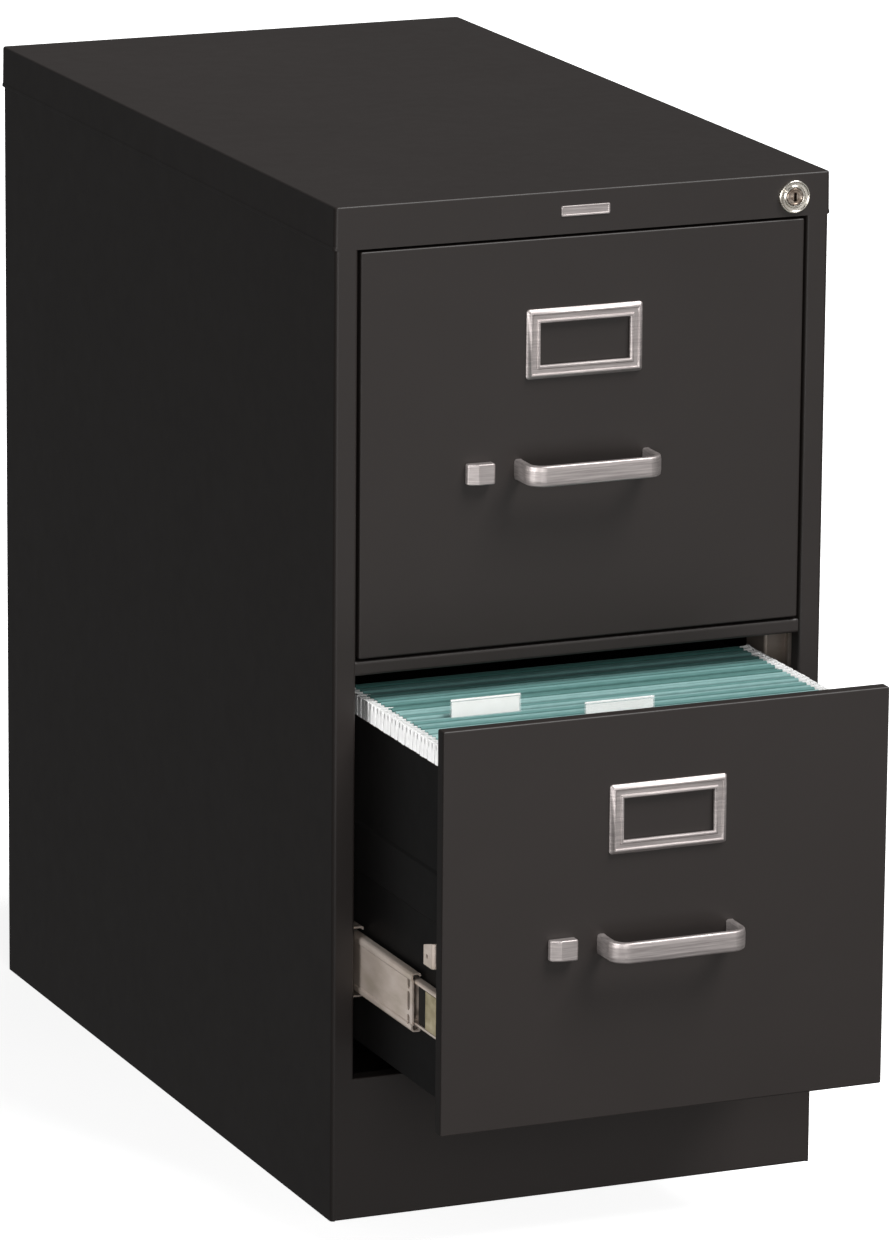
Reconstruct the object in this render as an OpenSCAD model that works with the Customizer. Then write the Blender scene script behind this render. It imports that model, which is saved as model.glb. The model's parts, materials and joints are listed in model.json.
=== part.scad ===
// Two-drawer vertical filing cabinet in sheet steel.
// The lower drawer stands partly open with hanging folders in it.
// X is across, Y runs from the drawer fronts to the back, Z is up.
// The origin is under the middle of the whole object, open drawer included.

/* [Cabinet] */
// Overall width, across the top cap
cab_w = 381; // [340:0.5:480]
// Overall height
cab_h = 736.6; // [610:0.1:900]
// Depth from the stiles to the back
cab_d = 673; // [550:1:820]
// Thickness of the sheet steel
sheet = 1; // [0.8:0.1:1.2]
// Height of the toe panel below the lower drawer
base_h = 105; // [80:0.5:130]
// Height of the top cap's skirt
skirt_h = 31; // [29:0.5:40]
// Distance that the cap stands out past each side panel
cap_over = 1.5; // [1.2:0.1:3]
// Width of the stiles beside the drawers
stile_w = 17; // [15:0.5:21]
// Radius of the cabinet's front upright corners
corner_r = 2; // [1.5:0.5:6]
// Height of the rail between the drawers
rail_h = 10.5; // [8:0.5:20]

/* [Drawers] */
// Gap round each drawer front
front_gap = 2; // [1.5:0.1:3]
// Depth of the returns of a drawer front
front_depth = 10; // [8:0.5:12]
// Depth of the hollow drawer head, front to inner liner
head_depth = 25; // [23:0.5:32]
// Distance that the lower drawer stands open
lower_open = 152.4; // [0:0.2:400]
// Height of a drawer's bottom edge above the bottom of its front
body_lift = 15; // [12:0.5:20]
// Distance from the top of a front down to the drawer sides
side_drop = 26; // [22:0.5:34]
// Room behind a closed drawer
rear_room = 20; // [14:1:40]
// Height of the pressed band along each drawer side
band_h = 36; // [20:1:40]
// Height of the band above the bottom of the front
band_lift = 144; // [140:1:160]
// Distance that the band stands out
band_out = 2; // [1:0.5:3]

/* [Slides] */
// Thickness of a telescopic slide, side to side
slide_t = 13; // [12:0.5:15]
// Height of a slide's cabinet member
slide_h = 52; // [46:1:56]
// Thickness of the slide members
slide_sheet = 1.2; // [1:0.1:1.5]
// Gap between two nested members, where the balls run
ball_gap = 3.4; // [3:0.1:4]
// Height of the slide's centre above the bottom of the front
slide_lift = 80; // [70:1:84]
// Share of the drawer's travel that the middle member makes
middle_share = 0.7; // [0.45:0.05:0.75]
// Number of balls along each row
ball_count = 5; // [3:1:8]

/* [Pull and latch] */
// Width of the pull across its ends
pull_w = 104; // [90:1:130]
// Distance that the pull stands out
pull_out = 30; // [25:0.5:38]
// Height of the pull's strap
pull_h = 15; // [12:0.5:20]
// Thickness of the pull's strap
pull_t = 5; // [4:0.5:6]
// Height of the pull and latch above the bottom of the front
pull_lift = 127; // [122:0.5:134]
// Width of the thumb latch
thumb_w = 20; // [16:0.5:22]
// Distance that the thumb latch stands out
thumb_out = 8; // [5:0.5:10]
// Distance from the drawer's middle to the thumb latch
thumb_x = 80; // [78:0.5:90]
// Travel of the thumb latch
thumb_travel = 7; // [5:0.5:8]

/* [Label holder] */
// Width of the label holder
label_w = 89; // [70:1:110]
// Height of the label holder
label_h = 50; // [40:1:60]
// Width of the label holder's border
label_border = 10; // [8:0.5:12]
// Distance that the label holder stands out
label_out = 4; // [3:0.5:5]
// Distance from the top of a front down to the label holder's middle
label_drop = 75; // [50:1:100]

/* [Lock and plate] */
// Diameter of the lock's bezel
bezel_d = 24; // [20:0.5:25]
// Diameter of the lock's turning plug
plug_d = 12.4; // [10:0.2:14]
// Distance from the top cap's right edge to the lock
lock_inset = 29.2; // [26:0.1:60]
// Distance from the cabinet's top down to the lock
lock_drop = 16.7; // [14:0.1:18]
// Radius from the plug's axis to the cam's pin
cam_r = 9; // [7:0.5:9]
// Width of the plain name plate
plate_w = 37; // [20:1:50]
// Height of the plain name plate
plate_h = 7.5; // [6:0.5:14]

/* [Hanging folders] */
// Number of folders in the lower drawer
folder_count = 14; // [1:1:20]
// Distance from one folder to the next
folder_pitch = 13.2; // [10:0.1:24]
// Gap between one loaded folder and the next
folder_gap = 0.8; // [0.2:0.1:2]
// Height of the hooks above the drawer sides
hook_rise = 7; // [5:0.5:9]

/* [Hidden] */

charcoal = "#363332";
steel_paint = "#202020";
zinc = "#B2AAA0";
nickel = "#BEB7B4";
black_plastic = "#151515";
teal = "#6E9696";
white_plastic = "#EBE8E6";

$fn = 48;
// Clearance between pieces that move past each other
gap = 0.4;
// Depth of a cut that runs past a face
past = 1;
bend_r = 1;
side_r = 0.8;

half_w = cab_w / 2 - cap_over;
wall_in = half_w - sheet;
opening_half = half_w - stile_w;
front_half = opening_half - front_gap;
slide_out = front_half;
drawer_half = slide_out - slide_t;
cap_z = cab_h - skirt_h;
front_h = (cab_h - skirt_h - base_h - rail_h - 4 * front_gap) / 2;
lower_z = base_h + front_gap;
rail_z = lower_z + front_h + front_gap;
upper_z = rail_z + rail_h + front_gap;
y_front = (lower_open + pull_out - cab_d) / 2;
stile_depth = 12;
rear_flange = 14;
// Distance from a side's outer face in to the toe panel's edge
toe_edge = corner_r + sheet + 0.2;
body_end = cab_d - sheet - rear_room;
floor_z = base_h - 25;

label_lift = front_h - label_drop;
side_h = front_h - side_drop - body_lift;
side_top = front_h - side_drop;
flange = 12;
hem = 8;

slide_start = stile_depth + 2;
slide_len = cab_d - slide_start - 40;
middle_h = slide_h - 2 * slide_sheet - 2 * ball_gap;
inner_h = middle_h - 2 * slide_sheet - 2 * ball_gap;
ball_d = ball_gap - 0.2;
ball_end = 5;
// Full travel of a drawer
drawer_travel = slide_len - 19;

lock_x = cab_w / 2 - lock_inset;
lock_z = cab_h - lock_drop;
plug_fit = 0.05;
barrel_d = bezel_d - 5;
barrel_len = 22;
cam_t = 2;
cam_y = sheet + barrel_len + 0.5;
cam_pin_d = 4;
cam_pin_len = 4;
bar_t = 2;
bar_y = cam_y + cam_t + gap;
bar_x = wall_in - 12;
bar_w = 8;

stem_w = 6;
stem_h = 8;
latch_bar_y = 14;
latch_bar_t = 2;
bolt_h = 18;
bolt_front = front_depth + 2.5;
bolt_arm = 2.5;
bolt_plate = 2;
bolt_reach = 16;
bolt_tip = opening_half - 0.6;
latch_end = thumb_x - 21;
spring_len = 22;
spring_r = 3;
spring_wire = 0.9;
spring_turns = 5;
pull_screw_x = pull_w / 2 - pull_t / 2;
folder_t = folder_pitch - folder_gap;
folder_start = head_depth + 3;
lower_follower_y = folder_start + folder_count * folder_pitch + 90;

// Unit vector at an angle
function dir(a) = [cos(a), sin(a)];
// The vector a quarter turn to the left
function left(v) = [-v[1], v[0]];
function unit(v) = v / norm(v);
// Signed angle from one direction to the next
function turn(a, b) = atan2(a[0] * b[1] - a[1] * b[0], a * b);
// Points round one bend of a folded sheet, on the edge that lies off to the left
function bend(p, q, s, t, r, off) =
    let (a = unit(q - p), b = unit(s - q), w = turn(a, b), sg = sign(w))
    let (edge = r + (sg > 0 ? t : 0), n = r > 1.5 ? 8 : 3)
    let (c = q - a * edge * tan(abs(w) / 2) + sg * edge * left(a), h = atan2(a[1], a[0]))
    [for (k = [0 : n]) c - sg * (edge - sg * off) * left(dir(h + w * k / n))];
// One edge of a folded sheet that follows corner points, with rounded bends
function sheet_edge(pts, t, r, off) =
    let (n = len(pts), a = unit(pts[1] - pts[0]), b = unit(pts[n - 1] - pts[n - 2]))
    concat(
        [pts[0] + off * left(a)],
        [for (i = [1 : n - 2]) each bend(pts[i - 1], pts[i], pts[i + 1], t, is_list(r) ? r[i - 1] : r, off)],
        [pts[n - 1] + off * left(b)]);
function reversed(v) = [for (i = [len(v) - 1 : -1 : 0]) v[i]];
// Section of a folded sheet: corner points run along its right-hand face
module folded(pts, t = sheet, r = bend_r) {
    polygon(concat(sheet_edge(pts, t, r, 0), reversed(sheet_edge(pts, t, r, t))));
}

// Extrudes a section drawn in X and Z along Y
module along_y(length) {
    translate([0, length, 0]) rotate([90, 0, 0]) linear_extrude(length) children();
}
// Extrudes a section drawn in Y and Z along X
module along_x(length) {
    rotate([90, 0, 90]) linear_extrude(length) children();
}
// A block centred on X, from y and z
module block(w, y, d, z, h) {
    translate([-w / 2, y, z]) cube([w, d, h]);
}
// A cylinder that runs back from y
module rod(d, y, length) {
    translate([0, y, 0]) rotate([-90, 0, 0]) cylinder(d = d, h = length);
}
module left_hand() {
    mirror([1, 0, 0]) children();
}
// Places the cabinet's own pieces
module in_case() {
    translate([0, y_front, 0]) children();
}
// Places a drawer's pieces, from the foot of its closed front
module in_upper() {
    translate([0, y_front, upper_z]) children();
}
// The same for the lower drawer, with its share of the opening
module in_lower(share = 1) {
    translate([0, y_front - lower_open * share, lower_z]) children();
}
module rounded_plan(w, d, r) {
    translate([-w / 2 + r, 0]) square([w - 2 * r, d]);
    translate([-w / 2, r]) square([w, d - 2 * r]);
    for (x = [-w / 2 + r, w / 2 - r], y = [r, d - r]) translate([x, y]) circle(r);
}

// Folded pan with a skirt all round, carrying the lock in its front
module top_cap() {
    color(charcoal) difference() {
        translate([0, 0, cap_z]) linear_extrude(skirt_h) rounded_plan(cab_w, cab_d, corner_r);
        translate([0, sheet, cap_z - past]) linear_extrude(skirt_h - sheet + past)
            rounded_plan(cab_w - 2 * sheet, cab_d - 2 * sheet, corner_r - sheet);
        translate([lock_x, 0, lock_z]) rod(barrel_d + gap, -past, sheet + 2 * past);
    }
}

// Side wall with a stile and its return at the front and a flange at the back
module side_panel() {
    inside = cab_d - sheet;
    pts = [[opening_half, stile_depth], [opening_half, 0], [half_w, 0], [half_w, inside],
        [half_w - rear_flange, inside]];
    color(steel_paint) difference() {
        linear_extrude(cab_h - sheet) folded(pts, r = [bend_r, corner_r, corner_r]);
        translate([opening_half - past, -past, cap_z])
            cube([cab_w, corner_r + 2 * sheet + stile_depth, skirt_h]);
        // below the lower drawer the toe panel takes the stile's place
        translate([opening_half - past, -past, -past])
            cube([half_w - toe_edge - opening_half + past, stile_depth + 2 * past, base_h + past]);
    }
}

module back_panel() {
    color(steel_paint) difference() {
        block(2 * (wall_in - corner_r), cab_d - 3 * sheet, sheet, 0, cab_h - sheet);
        // vent slots near the top
        for (i = [0 : 3]) block(120, cab_d - 3 * sheet - past, sheet + 2 * past, cap_z - 60 - 12 * i, 4);
    }
}

// Floor pan with turned-down front and rear flanges
module bottom_panel() {
    inner_end = cab_d - 2 * sheet - corner_r;
    front = stile_depth + 2;
    pts = [[inner_end, floor_z - 20], [inner_end, floor_z], [front, floor_z], [front, floor_z - 20]];
    color(steel_paint) translate([-wall_in, 0, 0]) along_x(2 * wall_in) folded(pts);
}

// Toe panel from corner to corner under the stiles, with stiffening flanges
module base_front_panel() {
    half = half_w - toe_edge - 0.2;
    pts = [[stile_depth, base_h], [0, base_h], [0, 0], [stile_depth, 0]];
    color(charcoal) translate([-half, 0, 0]) along_x(2 * half) folded(pts);
}

module middle_rail() {
    recess = 1.5;
    pts = [[stile_depth, rail_z + rail_h], [recess, rail_z + rail_h], [recess, rail_z], [stile_depth, rail_z]];
    color(charcoal) translate([-opening_half, 0, 0]) along_x(2 * opening_half) folded(pts);
}

// Hat sections on the side walls that carry the slides
upright_w = 30;
module slide_upright(y) {
    foot = 10;
    face = slide_out + sheet;
    pts = [[wall_in, y - foot], [wall_in, y], [face, y], [face, y + upright_w],
        [wall_in, y + upright_w], [wall_in, y + upright_w + foot]];
    translate([0, 0, floor_z]) linear_extrude(cap_z - floor_z) folded(pts);
}
module slide_uprights() {
    color(zinc) for (y = [slide_start + 40, slide_start + slide_len - 60]) {
        slide_upright(y);
        left_hand() slide_upright(y);
    }
}

module name_plate() {
    thick = 0.8;
    color(nickel) block(plate_w, -thick, thick, lock_z + 2 - plate_h / 2, plate_h);
}

module lock_housing() {
    color(nickel) translate([lock_x, 0, lock_z]) difference() {
        union() {
            rod(bezel_d, -3, 3);
            rod(barrel_d, -1, barrel_len + sheet + 1);
        }
        rod(plug_d + 2 * plug_fit, -3 - past, barrel_len + 6 + past);
        // dished face with one ring standing in it
        difference() {
            rod(bezel_d - 4, -3 - past, past + 1);
            rod(plug_d + 3, -3 - 2 * past, 3 * past + 1);
        }
    }
}

// Turning plug with its keyway, cam arm and drive pin
module lock_plug() {
    color(nickel) translate([lock_x, 0, lock_z]) {
        difference() {
            rod(plug_d, -2.6, cam_y + 2.6 + cam_t / 2);
            block(2.4, -3, 12, -4, 8);
        }
        rotate([0, 45, 0]) {
            translate([0, cam_y, 0]) {
                translate([0, 0, -4]) cube([cam_r, cam_t, 8]);
                rod(8, 0, cam_t);
                translate([cam_r, 0, 0]) rod(8, 0, cam_t);
                translate([cam_r, 0, 0]) rod(cam_pin_d, 0, cam_t + cam_pin_len);
            }
        }
    }
}

// Upright bar that the cam lifts, with a finger for each drawer
module lock_bar() {
    pin_z = lock_z - cam_r * sin(45);
    slot_h = cam_pin_d + 1.4;
    head_x = lock_x + cam_r * cos(45) - cam_pin_d;
    head_w = bar_x + bar_w - head_x;
    finger_in = drawer_half + band_out + 2;
    color(zinc) difference() {
        union() {
            translate([bar_x, bar_y, floor_z + 10]) cube([bar_w, bar_t, pin_z + 6 - floor_z - 10]);
            translate([head_x, bar_y, pin_z - 6]) cube([head_w, bar_t, 12]);
            for (z = [lower_z, upper_z]) {
                translate([finger_in, bar_y, z + side_top - 60]) cube([bar_x + past - finger_in, bar_t, 14]);
            }
        }
        translate([head_x + 1, bar_y - past, pin_z - slot_h / 2])
            cube([cam_r * (1 - cos(45)) + cam_pin_d + 3, bar_t + 2 * past, slot_h]);
    }
}

module lock_bar_guides() {
    deep = bar_t + 2 * gap + 4;
    color(zinc) for (z = [lower_z + 20, rail_z]) difference() {
        translate([bar_x - 3, bar_y - gap - 2, z]) cube([wall_in - bar_x + 3, deep, 16]);
        translate([bar_x - gap, bar_y - gap, z - past]) cube([bar_w + 2 * gap, bar_t + 2 * gap, 16 + 2 * past]);
    }
}

slide_lip = 1.4;
// Half section of a slide member with curled-in lips, web at x0, opening towards x1
module member_section(x0, x1, h) {
    s = sign(x1 - x0);
    t = slide_sheet;
    z0 = -h / 2;
    web = min(x0, x0 + s * t);
    translate([web, z0]) square([t, h]);
    for (m = [0, 1]) mirror([0, m]) {
        translate([min(x0, x1), z0]) square([abs(x1 - x0), t]);
        translate([x1 - (s > 0 ? t : 0), z0]) square([t, t + slide_lip]);
    }
}
// Mounting holes through a member's web
module web_holes(x, d) {
    for (y = [35 : (slide_len - 90) / 3 : slide_len - 50])
        translate([x, y, 0]) rotate([0, 90, 0]) cylinder(d = d, h = 4 * slide_sheet, center = true);
}
outer_lip_x = drawer_half + 2.2;
middle_lip_x = outer_lip_x + 0.6;
middle_web_x = slide_out - slide_sheet - 1.6;
inner_lip_x = middle_web_x - slide_sheet - 1.4;
module cabinet_slide() {
    color(zinc) translate([0, slide_start, slide_lift]) difference() {
        along_y(slide_len) member_section(slide_out, outer_lip_x, slide_h);
        web_holes(slide_out - slide_sheet / 2, 7);
    }
}
module middle_slide() {
    color(zinc) translate([0, slide_start, slide_lift]) difference() {
        along_y(slide_len) member_section(middle_web_x, middle_lip_x, middle_h);
        web_holes(middle_web_x - slide_sheet / 2, 10);
    }
}
module drawer_slide() {
    color(zinc) translate([0, slide_start, slide_lift]) difference() {
        along_y(slide_len) member_section(drawer_half, inner_lip_x, inner_h);
        web_holes(drawer_half + slide_sheet / 2, 7);
    }
}
// Black plastic stop in the front end of a drawer member
module slide_stop() {
    long = 30;
    deep = inner_lip_x - drawer_half - 2 * slide_sheet - 0.2;
    high = inner_h - 2 * slide_sheet;
    color(black_plastic) translate([drawer_half + slide_sheet, head_depth, slide_lift]) difference() {
        translate([0, 0, -high / 2]) cube([deep, long, high]);
        translate([deep - 2, 8, -high / 4]) cube([2 + past, long, high / 2]);
    }
}
module slide_stops() {
    slide_stop();
    left_hand() slide_stop();
}
race_in = middle_lip_x + slide_sheet;
race_out = middle_web_x - slide_sheet;
// Plastic strips that space the balls above and below a member of height h
module ball_cage(h, length) {
    strip_h = ball_gap - 0.8;
    strip_w = race_out - race_in - 2 * gap;
    mid_x = (race_in + race_out) / 2;
    row_z = h / 2 + ball_gap / 2;
    end = 10;
    step = (length - 2 * end) / (ball_count - 1);
    for (m = [0, 1]) mirror([0, 0, m]) {
        color(black_plastic) difference() {
            translate([mid_x - strip_w / 2, 0, row_z - strip_h / 2]) cube([strip_w, length, strip_h]);
            for (i = [0 : ball_count - 1]) translate([mid_x, end + i * step, row_z])
                cylinder(d = ball_d + 0.3, h = 2 * strip_h, center = true);
        }
        color(zinc) for (i = [0 : ball_count - 1]) translate([mid_x, end + i * step, row_z]) sphere(d = ball_d);
    }
}
// Cages keep to the middle of the stretch where two members overlap
module ball_cages(h, length) {
    translate([0, slide_start + (slide_len - length) / 2, slide_lift]) {
        ball_cage(h, length);
        left_hand() ball_cage(h, length);
    }
}
module outer_ball_cages() {
    ball_cages(middle_h, slide_len - middle_share * drawer_travel - 2 * ball_end);
}
module inner_ball_cages() {
    ball_cages(inner_h, slide_len - (1 - middle_share) * drawer_travel - 2 * ball_end);
}
outer_cage_share = middle_share / 2;
inner_cage_share = (middle_share + 1) / 2;

// Front pan: face, four returns and inturned lips, pierced for pull and latch
module drawer_front() {
    lip = 8;
    color(charcoal) difference() {
        block(2 * front_half, 0, front_depth, 0, front_h);
        block(2 * (front_half - sheet), sheet, front_depth - 2 * sheet, sheet, front_h - 2 * sheet);
        block(2 * (front_half - lip), front_depth - 2 * sheet, 4 * sheet, lip, front_h - 2 * lip);
        for (x = [-pull_screw_x, pull_screw_x]) translate([x, 0, pull_lift]) rod(5.5, -past, sheet + 2 * past);
        translate([-thumb_x - stem_w / 2 - gap, -past, pull_lift - stem_h / 2 - gap])
            cube([stem_w + thumb_travel + 2 * gap, sheet + 2 * past, stem_h + 2 * gap]);
    }
}

// Inner wall of the drawer head, with flanges inside the drawer sides
module front_liner() {
    x = drawer_half - sheet;
    pts = [[-x, front_depth], [-x, head_depth], [x, head_depth], [x, front_depth]];
    slot_z = pull_lift - bolt_h / 2 - gap;
    color(steel_paint) difference() {
        union() {
            translate([0, 0, body_lift + 2 * sheet])
                linear_extrude(side_h - hem - 3 * sheet) folded(reversed(pts));
            // ear that the latch spring pushes against
            translate([-latch_end + spring_len + 0.5, latch_bar_y - 3, pull_lift - 5])
                cube([sheet, head_depth - latch_bar_y + 2.5, 10]);
        }
        translate([-drawer_half - past, bolt_front - gap, slot_z])
            cube([flange, bolt_arm + 2 * gap, bolt_h + 2 * gap]);
    }
}

// Drawer side, drawn for the right: bottom flange, pressed band and rolled top edge
module drawer_side() {
    b0 = band_lift;
    b1 = band_lift + band_h;
    w = drawer_half;
    top_in = 4;
    pts = [[w - flange, body_lift], [w, body_lift], [w, b0 - band_out], [w + band_out, b0],
        [w + band_out, b1 - band_out], [w, b1], [w, side_top], [w - top_in, side_top],
        [w - top_in, side_top - hem]];
    color(steel_paint) translate([0, front_depth, 0]) along_y(body_end - front_depth) folded(pts, r = side_r);
}
module left_drawer_side() {
    slot_z = pull_lift - bolt_h / 2 - gap;
    color(steel_paint) difference() {
        left_hand() drawer_side();
        translate([-drawer_half - flange / 2, bolt_front - gap, slot_z])
            cube([flange, bolt_arm + 2 * gap, bolt_h + 2 * gap]);
    }
}

module drawer_rear() {
    x = drawer_half - sheet;
    y = body_end - sheet;
    pts = [[-x, y - flange], [-x, y], [x, y], [x, y - flange]];
    color(steel_paint) translate([0, 0, body_lift + 2 * sheet])
        linear_extrude(side_h - 40) folded(reversed(pts));
}

// Bottom sheet with the slot that guides the follower
track_w = 8;
module drawer_bottom() {
    y0 = head_depth + 30;
    color(steel_paint) difference() {
        block(2 * (drawer_half - sheet - side_r), front_depth, body_end - front_depth, body_lift + sheet, sheet);
        block(track_w, y0, body_end - 30 - y0, body_lift, 4 * sheet);
    }
}

// Upright plate that holds files up, with a foot that runs in the slot
follower_w = 200;
module follower(y) {
    foot = 70;
    z = body_lift + 2 * sheet + gap;
    plate_top = side_top - 55;
    pts = [[y, plate_top], [y, z], [y + foot, z]];
    color(zinc) {
        translate([-follower_w / 2, 0, 0]) along_x(follower_w) folded(pts);
        block(track_w - 2 * gap, y + 20, foot - 30, body_lift + sheet - gap - 1.4, 1.4 + sheet + 2.5 * gap);
        block(2.5 * track_w, y + 20, foot - 30, body_lift + sheet - gap - 3, 2.6);
    }
}

// Strap pull with rounded elbows and two tapped ends
module pull() {
    half = pull_w / 2;
    pts = [[-half, 0], [-half, -pull_out], [half, -pull_out], [half, 0]];
    color(nickel) difference() {
        translate([0, 0, pull_lift - pull_h / 2]) linear_extrude(pull_h) folded(pts, t = pull_t, r = 8);
        for (x = [-pull_screw_x, pull_screw_x]) translate([x, 0, pull_lift]) rod(pull_t - 2.2, -10, 10 + past);
    }
}
module pull_screws() {
    color(zinc) for (x = [-pull_screw_x, pull_screw_x]) translate([x, 0, pull_lift]) difference() {
        union() {
            rod(pull_t - 2.4, -9, 10 + sheet);
            rod(8.5, sheet, 3);
        }
        block(1.2, sheet + 2, 2, -3, 6);
        block(6, sheet + 2, 2, -0.6, 1.2);
    }
}

// Bevelled frame round a window, with a card pocket behind it
module label_holder() {
    bevel = 2.5;
    z = label_lift - label_h / 2;
    color(nickel) difference() {
        hull() {
            block(label_w, -1, 1, z, label_h);
            block(label_w - 2 * bevel, -label_out, 1, z + bevel, label_h - 2 * bevel);
        }
        block(label_w - 2 * label_border, -label_out - past, label_out + 2 * past,
            z + label_border, label_h - 2 * label_border);
        block(label_w - label_border, -1, 2, z + label_border / 2, label_h - label_border);
    }
}

// Thumb piece that slides across the face, with its stem through the front
module thumb_latch() {
    z = pull_lift - pull_h / 2;
    round = 2;
    color(nickel) translate([-thumb_x, 0, 0]) {
        translate([0, 0, z]) linear_extrude(pull_h) {
            translate([-thumb_w / 2, -thumb_out + round]) square([thumb_w, thumb_out - round - gap]);
            translate([-thumb_w / 2 + round, -thumb_out]) square([thumb_w - 2 * round, thumb_out - gap]);
            for (x = [-1, 1]) translate([x * (thumb_w / 2 - round), -thumb_out + round]) circle(round);
        }
        block(stem_w, -gap - past, latch_bar_y + gap + past, pull_lift - stem_h / 2, stem_h);
    }
}

// Latch bar behind the face, with a bolt at the drawer's left edge: an arm and a plate turned back
module latch_bar() {
    inner = drawer_half - 6;
    arm_end = bolt_front + bolt_arm;
    plate_end = bolt_front + bolt_reach;
    plate_in = bolt_tip - bolt_plate;
    z = pull_lift;
    color(zinc) {
        translate([-inner, latch_bar_y, z - 8]) cube([inner - latch_end, latch_bar_t, 16]);
        translate([0, 0, z - bolt_h / 2]) linear_extrude(bolt_h) polygon([
            [4 - inner, bolt_front], [-bolt_tip, bolt_front], [-bolt_tip, plate_end],
            [-plate_in, plate_end], [-plate_in, arm_end], [4 - inner, arm_end]]);
    }
}

// Points of a ring of the spring's wire at a turn angle
spring_sides = 6;
spring_steps = 12;
function spring_ring(a) =
    let (x = (spring_len - spring_wire) * a / (360 * spring_turns))
    [for (k = [0 : spring_sides - 1])
        let (w = 360 * k / spring_sides, r = spring_r + spring_wire / 2 * cos(w))
        [x + spring_wire / 2 * sin(w), r * cos(a), r * sin(a)]];
module latch_spring() {
    n = spring_turns * spring_steps;
    m = spring_sides;
    points = [for (i = [0 : n]) each spring_ring(360 * i / spring_steps)];
    walls = [for (i = [0 : n - 1], k = [0 : m - 1])
        let (a = i * m + k, b = i * m + (k + 1) % m)
        each [[a, b, b + m], [a, b + m, a + m]]];
    ends = [[for (k = [m - 1 : -1 : 0]) k], [for (k = [0 : m - 1]) n * m + k]];
    color(zinc) translate([-latch_end + spring_wire / 2 + 0.1, latch_bar_y + latch_bar_t / 2, pull_lift])
        polyhedron(points, concat(walls, ends), convexity = 10);
}

// Places of a folder's two leaves, as shares of its thickness
leaf_shares = [0.25, 0.75];
// Distance from a drawer side's outer face in to the edge of the card
card_edge = 5.5;
// Folders hang from hooks on the rolled top edges
module hanging_folders() {
    w = 2 * (drawer_half - card_edge);
    bottom = body_lift + 2 * sheet + 8;
    color(teal) for (i = [0 : folder_count - 1])
        block(w, folder_start + i * folder_pitch, folder_t, bottom, side_top - 1 - bottom);
}
module hook_section() {
    inner = drawer_half - card_edge;
    outer = drawer_half + 2.6;
    top = side_top + hook_rise;
    for (m = [0, 1]) mirror([m, 0]) {
        translate([0, side_top - 1]) square([inner, hook_rise + 1]);
        translate([inner - past, side_top + 0.2]) square([outer - inner + past, hook_rise - 0.2]);
        translate([outer - 1.6, side_top - 8]) square([1.6, hook_rise + 8]);
    }
}
// Two hook rods carry each folder, one for its front leaf and one for its back leaf
module folder_hooks() {
    color(white_plastic) for (i = [0 : folder_count - 1], share = leaf_shares)
        translate([0, folder_start + i * folder_pitch + folder_t * share - 1, 0]) along_y(2) hook_section();
}
module index_tabs() {
    tab_w = 53;
    tab_h = 12;
    // each tab's place across and its share of the way through the folders
    places = [[-94, 0.38], [-9, 0.16]];
    color(white_plastic) for (p = places) {
        y = folder_start + floor(p[1] * folder_count) * folder_pitch + folder_t * leaf_shares[1];
        translate([p[0], 0, 0]) block(tab_w, y - 0.5, 1, side_top + hook_rise, tab_h);
    }
}

in_case() top_cap();
in_case() left_hand() side_panel();  // left_side_panel
in_case() side_panel();  // right_side_panel
in_case() back_panel();
in_case() bottom_panel();
in_case() base_front_panel();
in_case() middle_rail();
in_case() slide_uprights();
in_case() name_plate();
in_case() lock_housing();
in_case() lock_plug();
in_case() lock_bar();
in_case() lock_bar_guides();
in_upper() left_hand() cabinet_slide();  // upper_left_cabinet_slide
in_upper() cabinet_slide();  // upper_right_cabinet_slide
in_lower(0) left_hand() cabinet_slide();  // lower_left_cabinet_slide
in_lower(0) cabinet_slide();  // lower_right_cabinet_slide
in_upper() left_hand() middle_slide();  // upper_left_middle_slide
in_upper() middle_slide();  // upper_right_middle_slide
in_lower(middle_share) left_hand() middle_slide();  // lower_left_middle_slide
in_lower(middle_share) middle_slide();  // lower_right_middle_slide
in_upper() outer_ball_cages();  // upper_outer_ball_cages
in_upper() inner_ball_cages();  // upper_inner_ball_cages
in_lower(outer_cage_share) outer_ball_cages();  // lower_outer_ball_cages
in_lower(inner_cage_share) inner_ball_cages();  // lower_inner_ball_cages
in_upper() drawer_front();  // upper_front
in_upper() front_liner();  // upper_front_liner
in_upper() left_drawer_side();  // upper_left_side
in_upper() drawer_side();  // upper_right_side
in_upper() drawer_rear();  // upper_rear
in_upper() drawer_bottom();  // upper_bottom
in_upper() pull();  // upper_pull
in_upper() pull_screws();  // upper_pull_screws
in_upper() label_holder();  // upper_label_holder
in_upper() left_hand() drawer_slide();  // upper_left_drawer_slide
in_upper() drawer_slide();  // upper_right_drawer_slide
in_upper() slide_stops();  // upper_slide_stops
in_upper() thumb_latch();  // upper_thumb_latch
in_upper() latch_bar();  // upper_latch_bar
in_upper() latch_spring();  // upper_latch_spring
in_upper() follower(body_end - 150);  // upper_follower
in_lower() drawer_front();  // lower_front
in_lower() front_liner();  // lower_front_liner
in_lower() left_drawer_side();  // lower_left_side
in_lower() drawer_side();  // lower_right_side
in_lower() drawer_rear();  // lower_rear
in_lower() drawer_bottom();  // lower_bottom
in_lower() pull();  // lower_pull
in_lower() pull_screws();  // lower_pull_screws
in_lower() label_holder();  // lower_label_holder
in_lower() left_hand() drawer_slide();  // lower_left_drawer_slide
in_lower() drawer_slide();  // lower_right_drawer_slide
in_lower() slide_stops();  // lower_slide_stops
in_lower() thumb_latch();  // lower_thumb_latch
in_lower() latch_bar();  // lower_latch_bar
in_lower() latch_spring();  // lower_latch_spring
in_lower() follower(lower_follower_y);  // lower_follower
in_lower() hanging_folders();
in_lower() folder_hooks();
in_lower() index_tabs();
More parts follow.
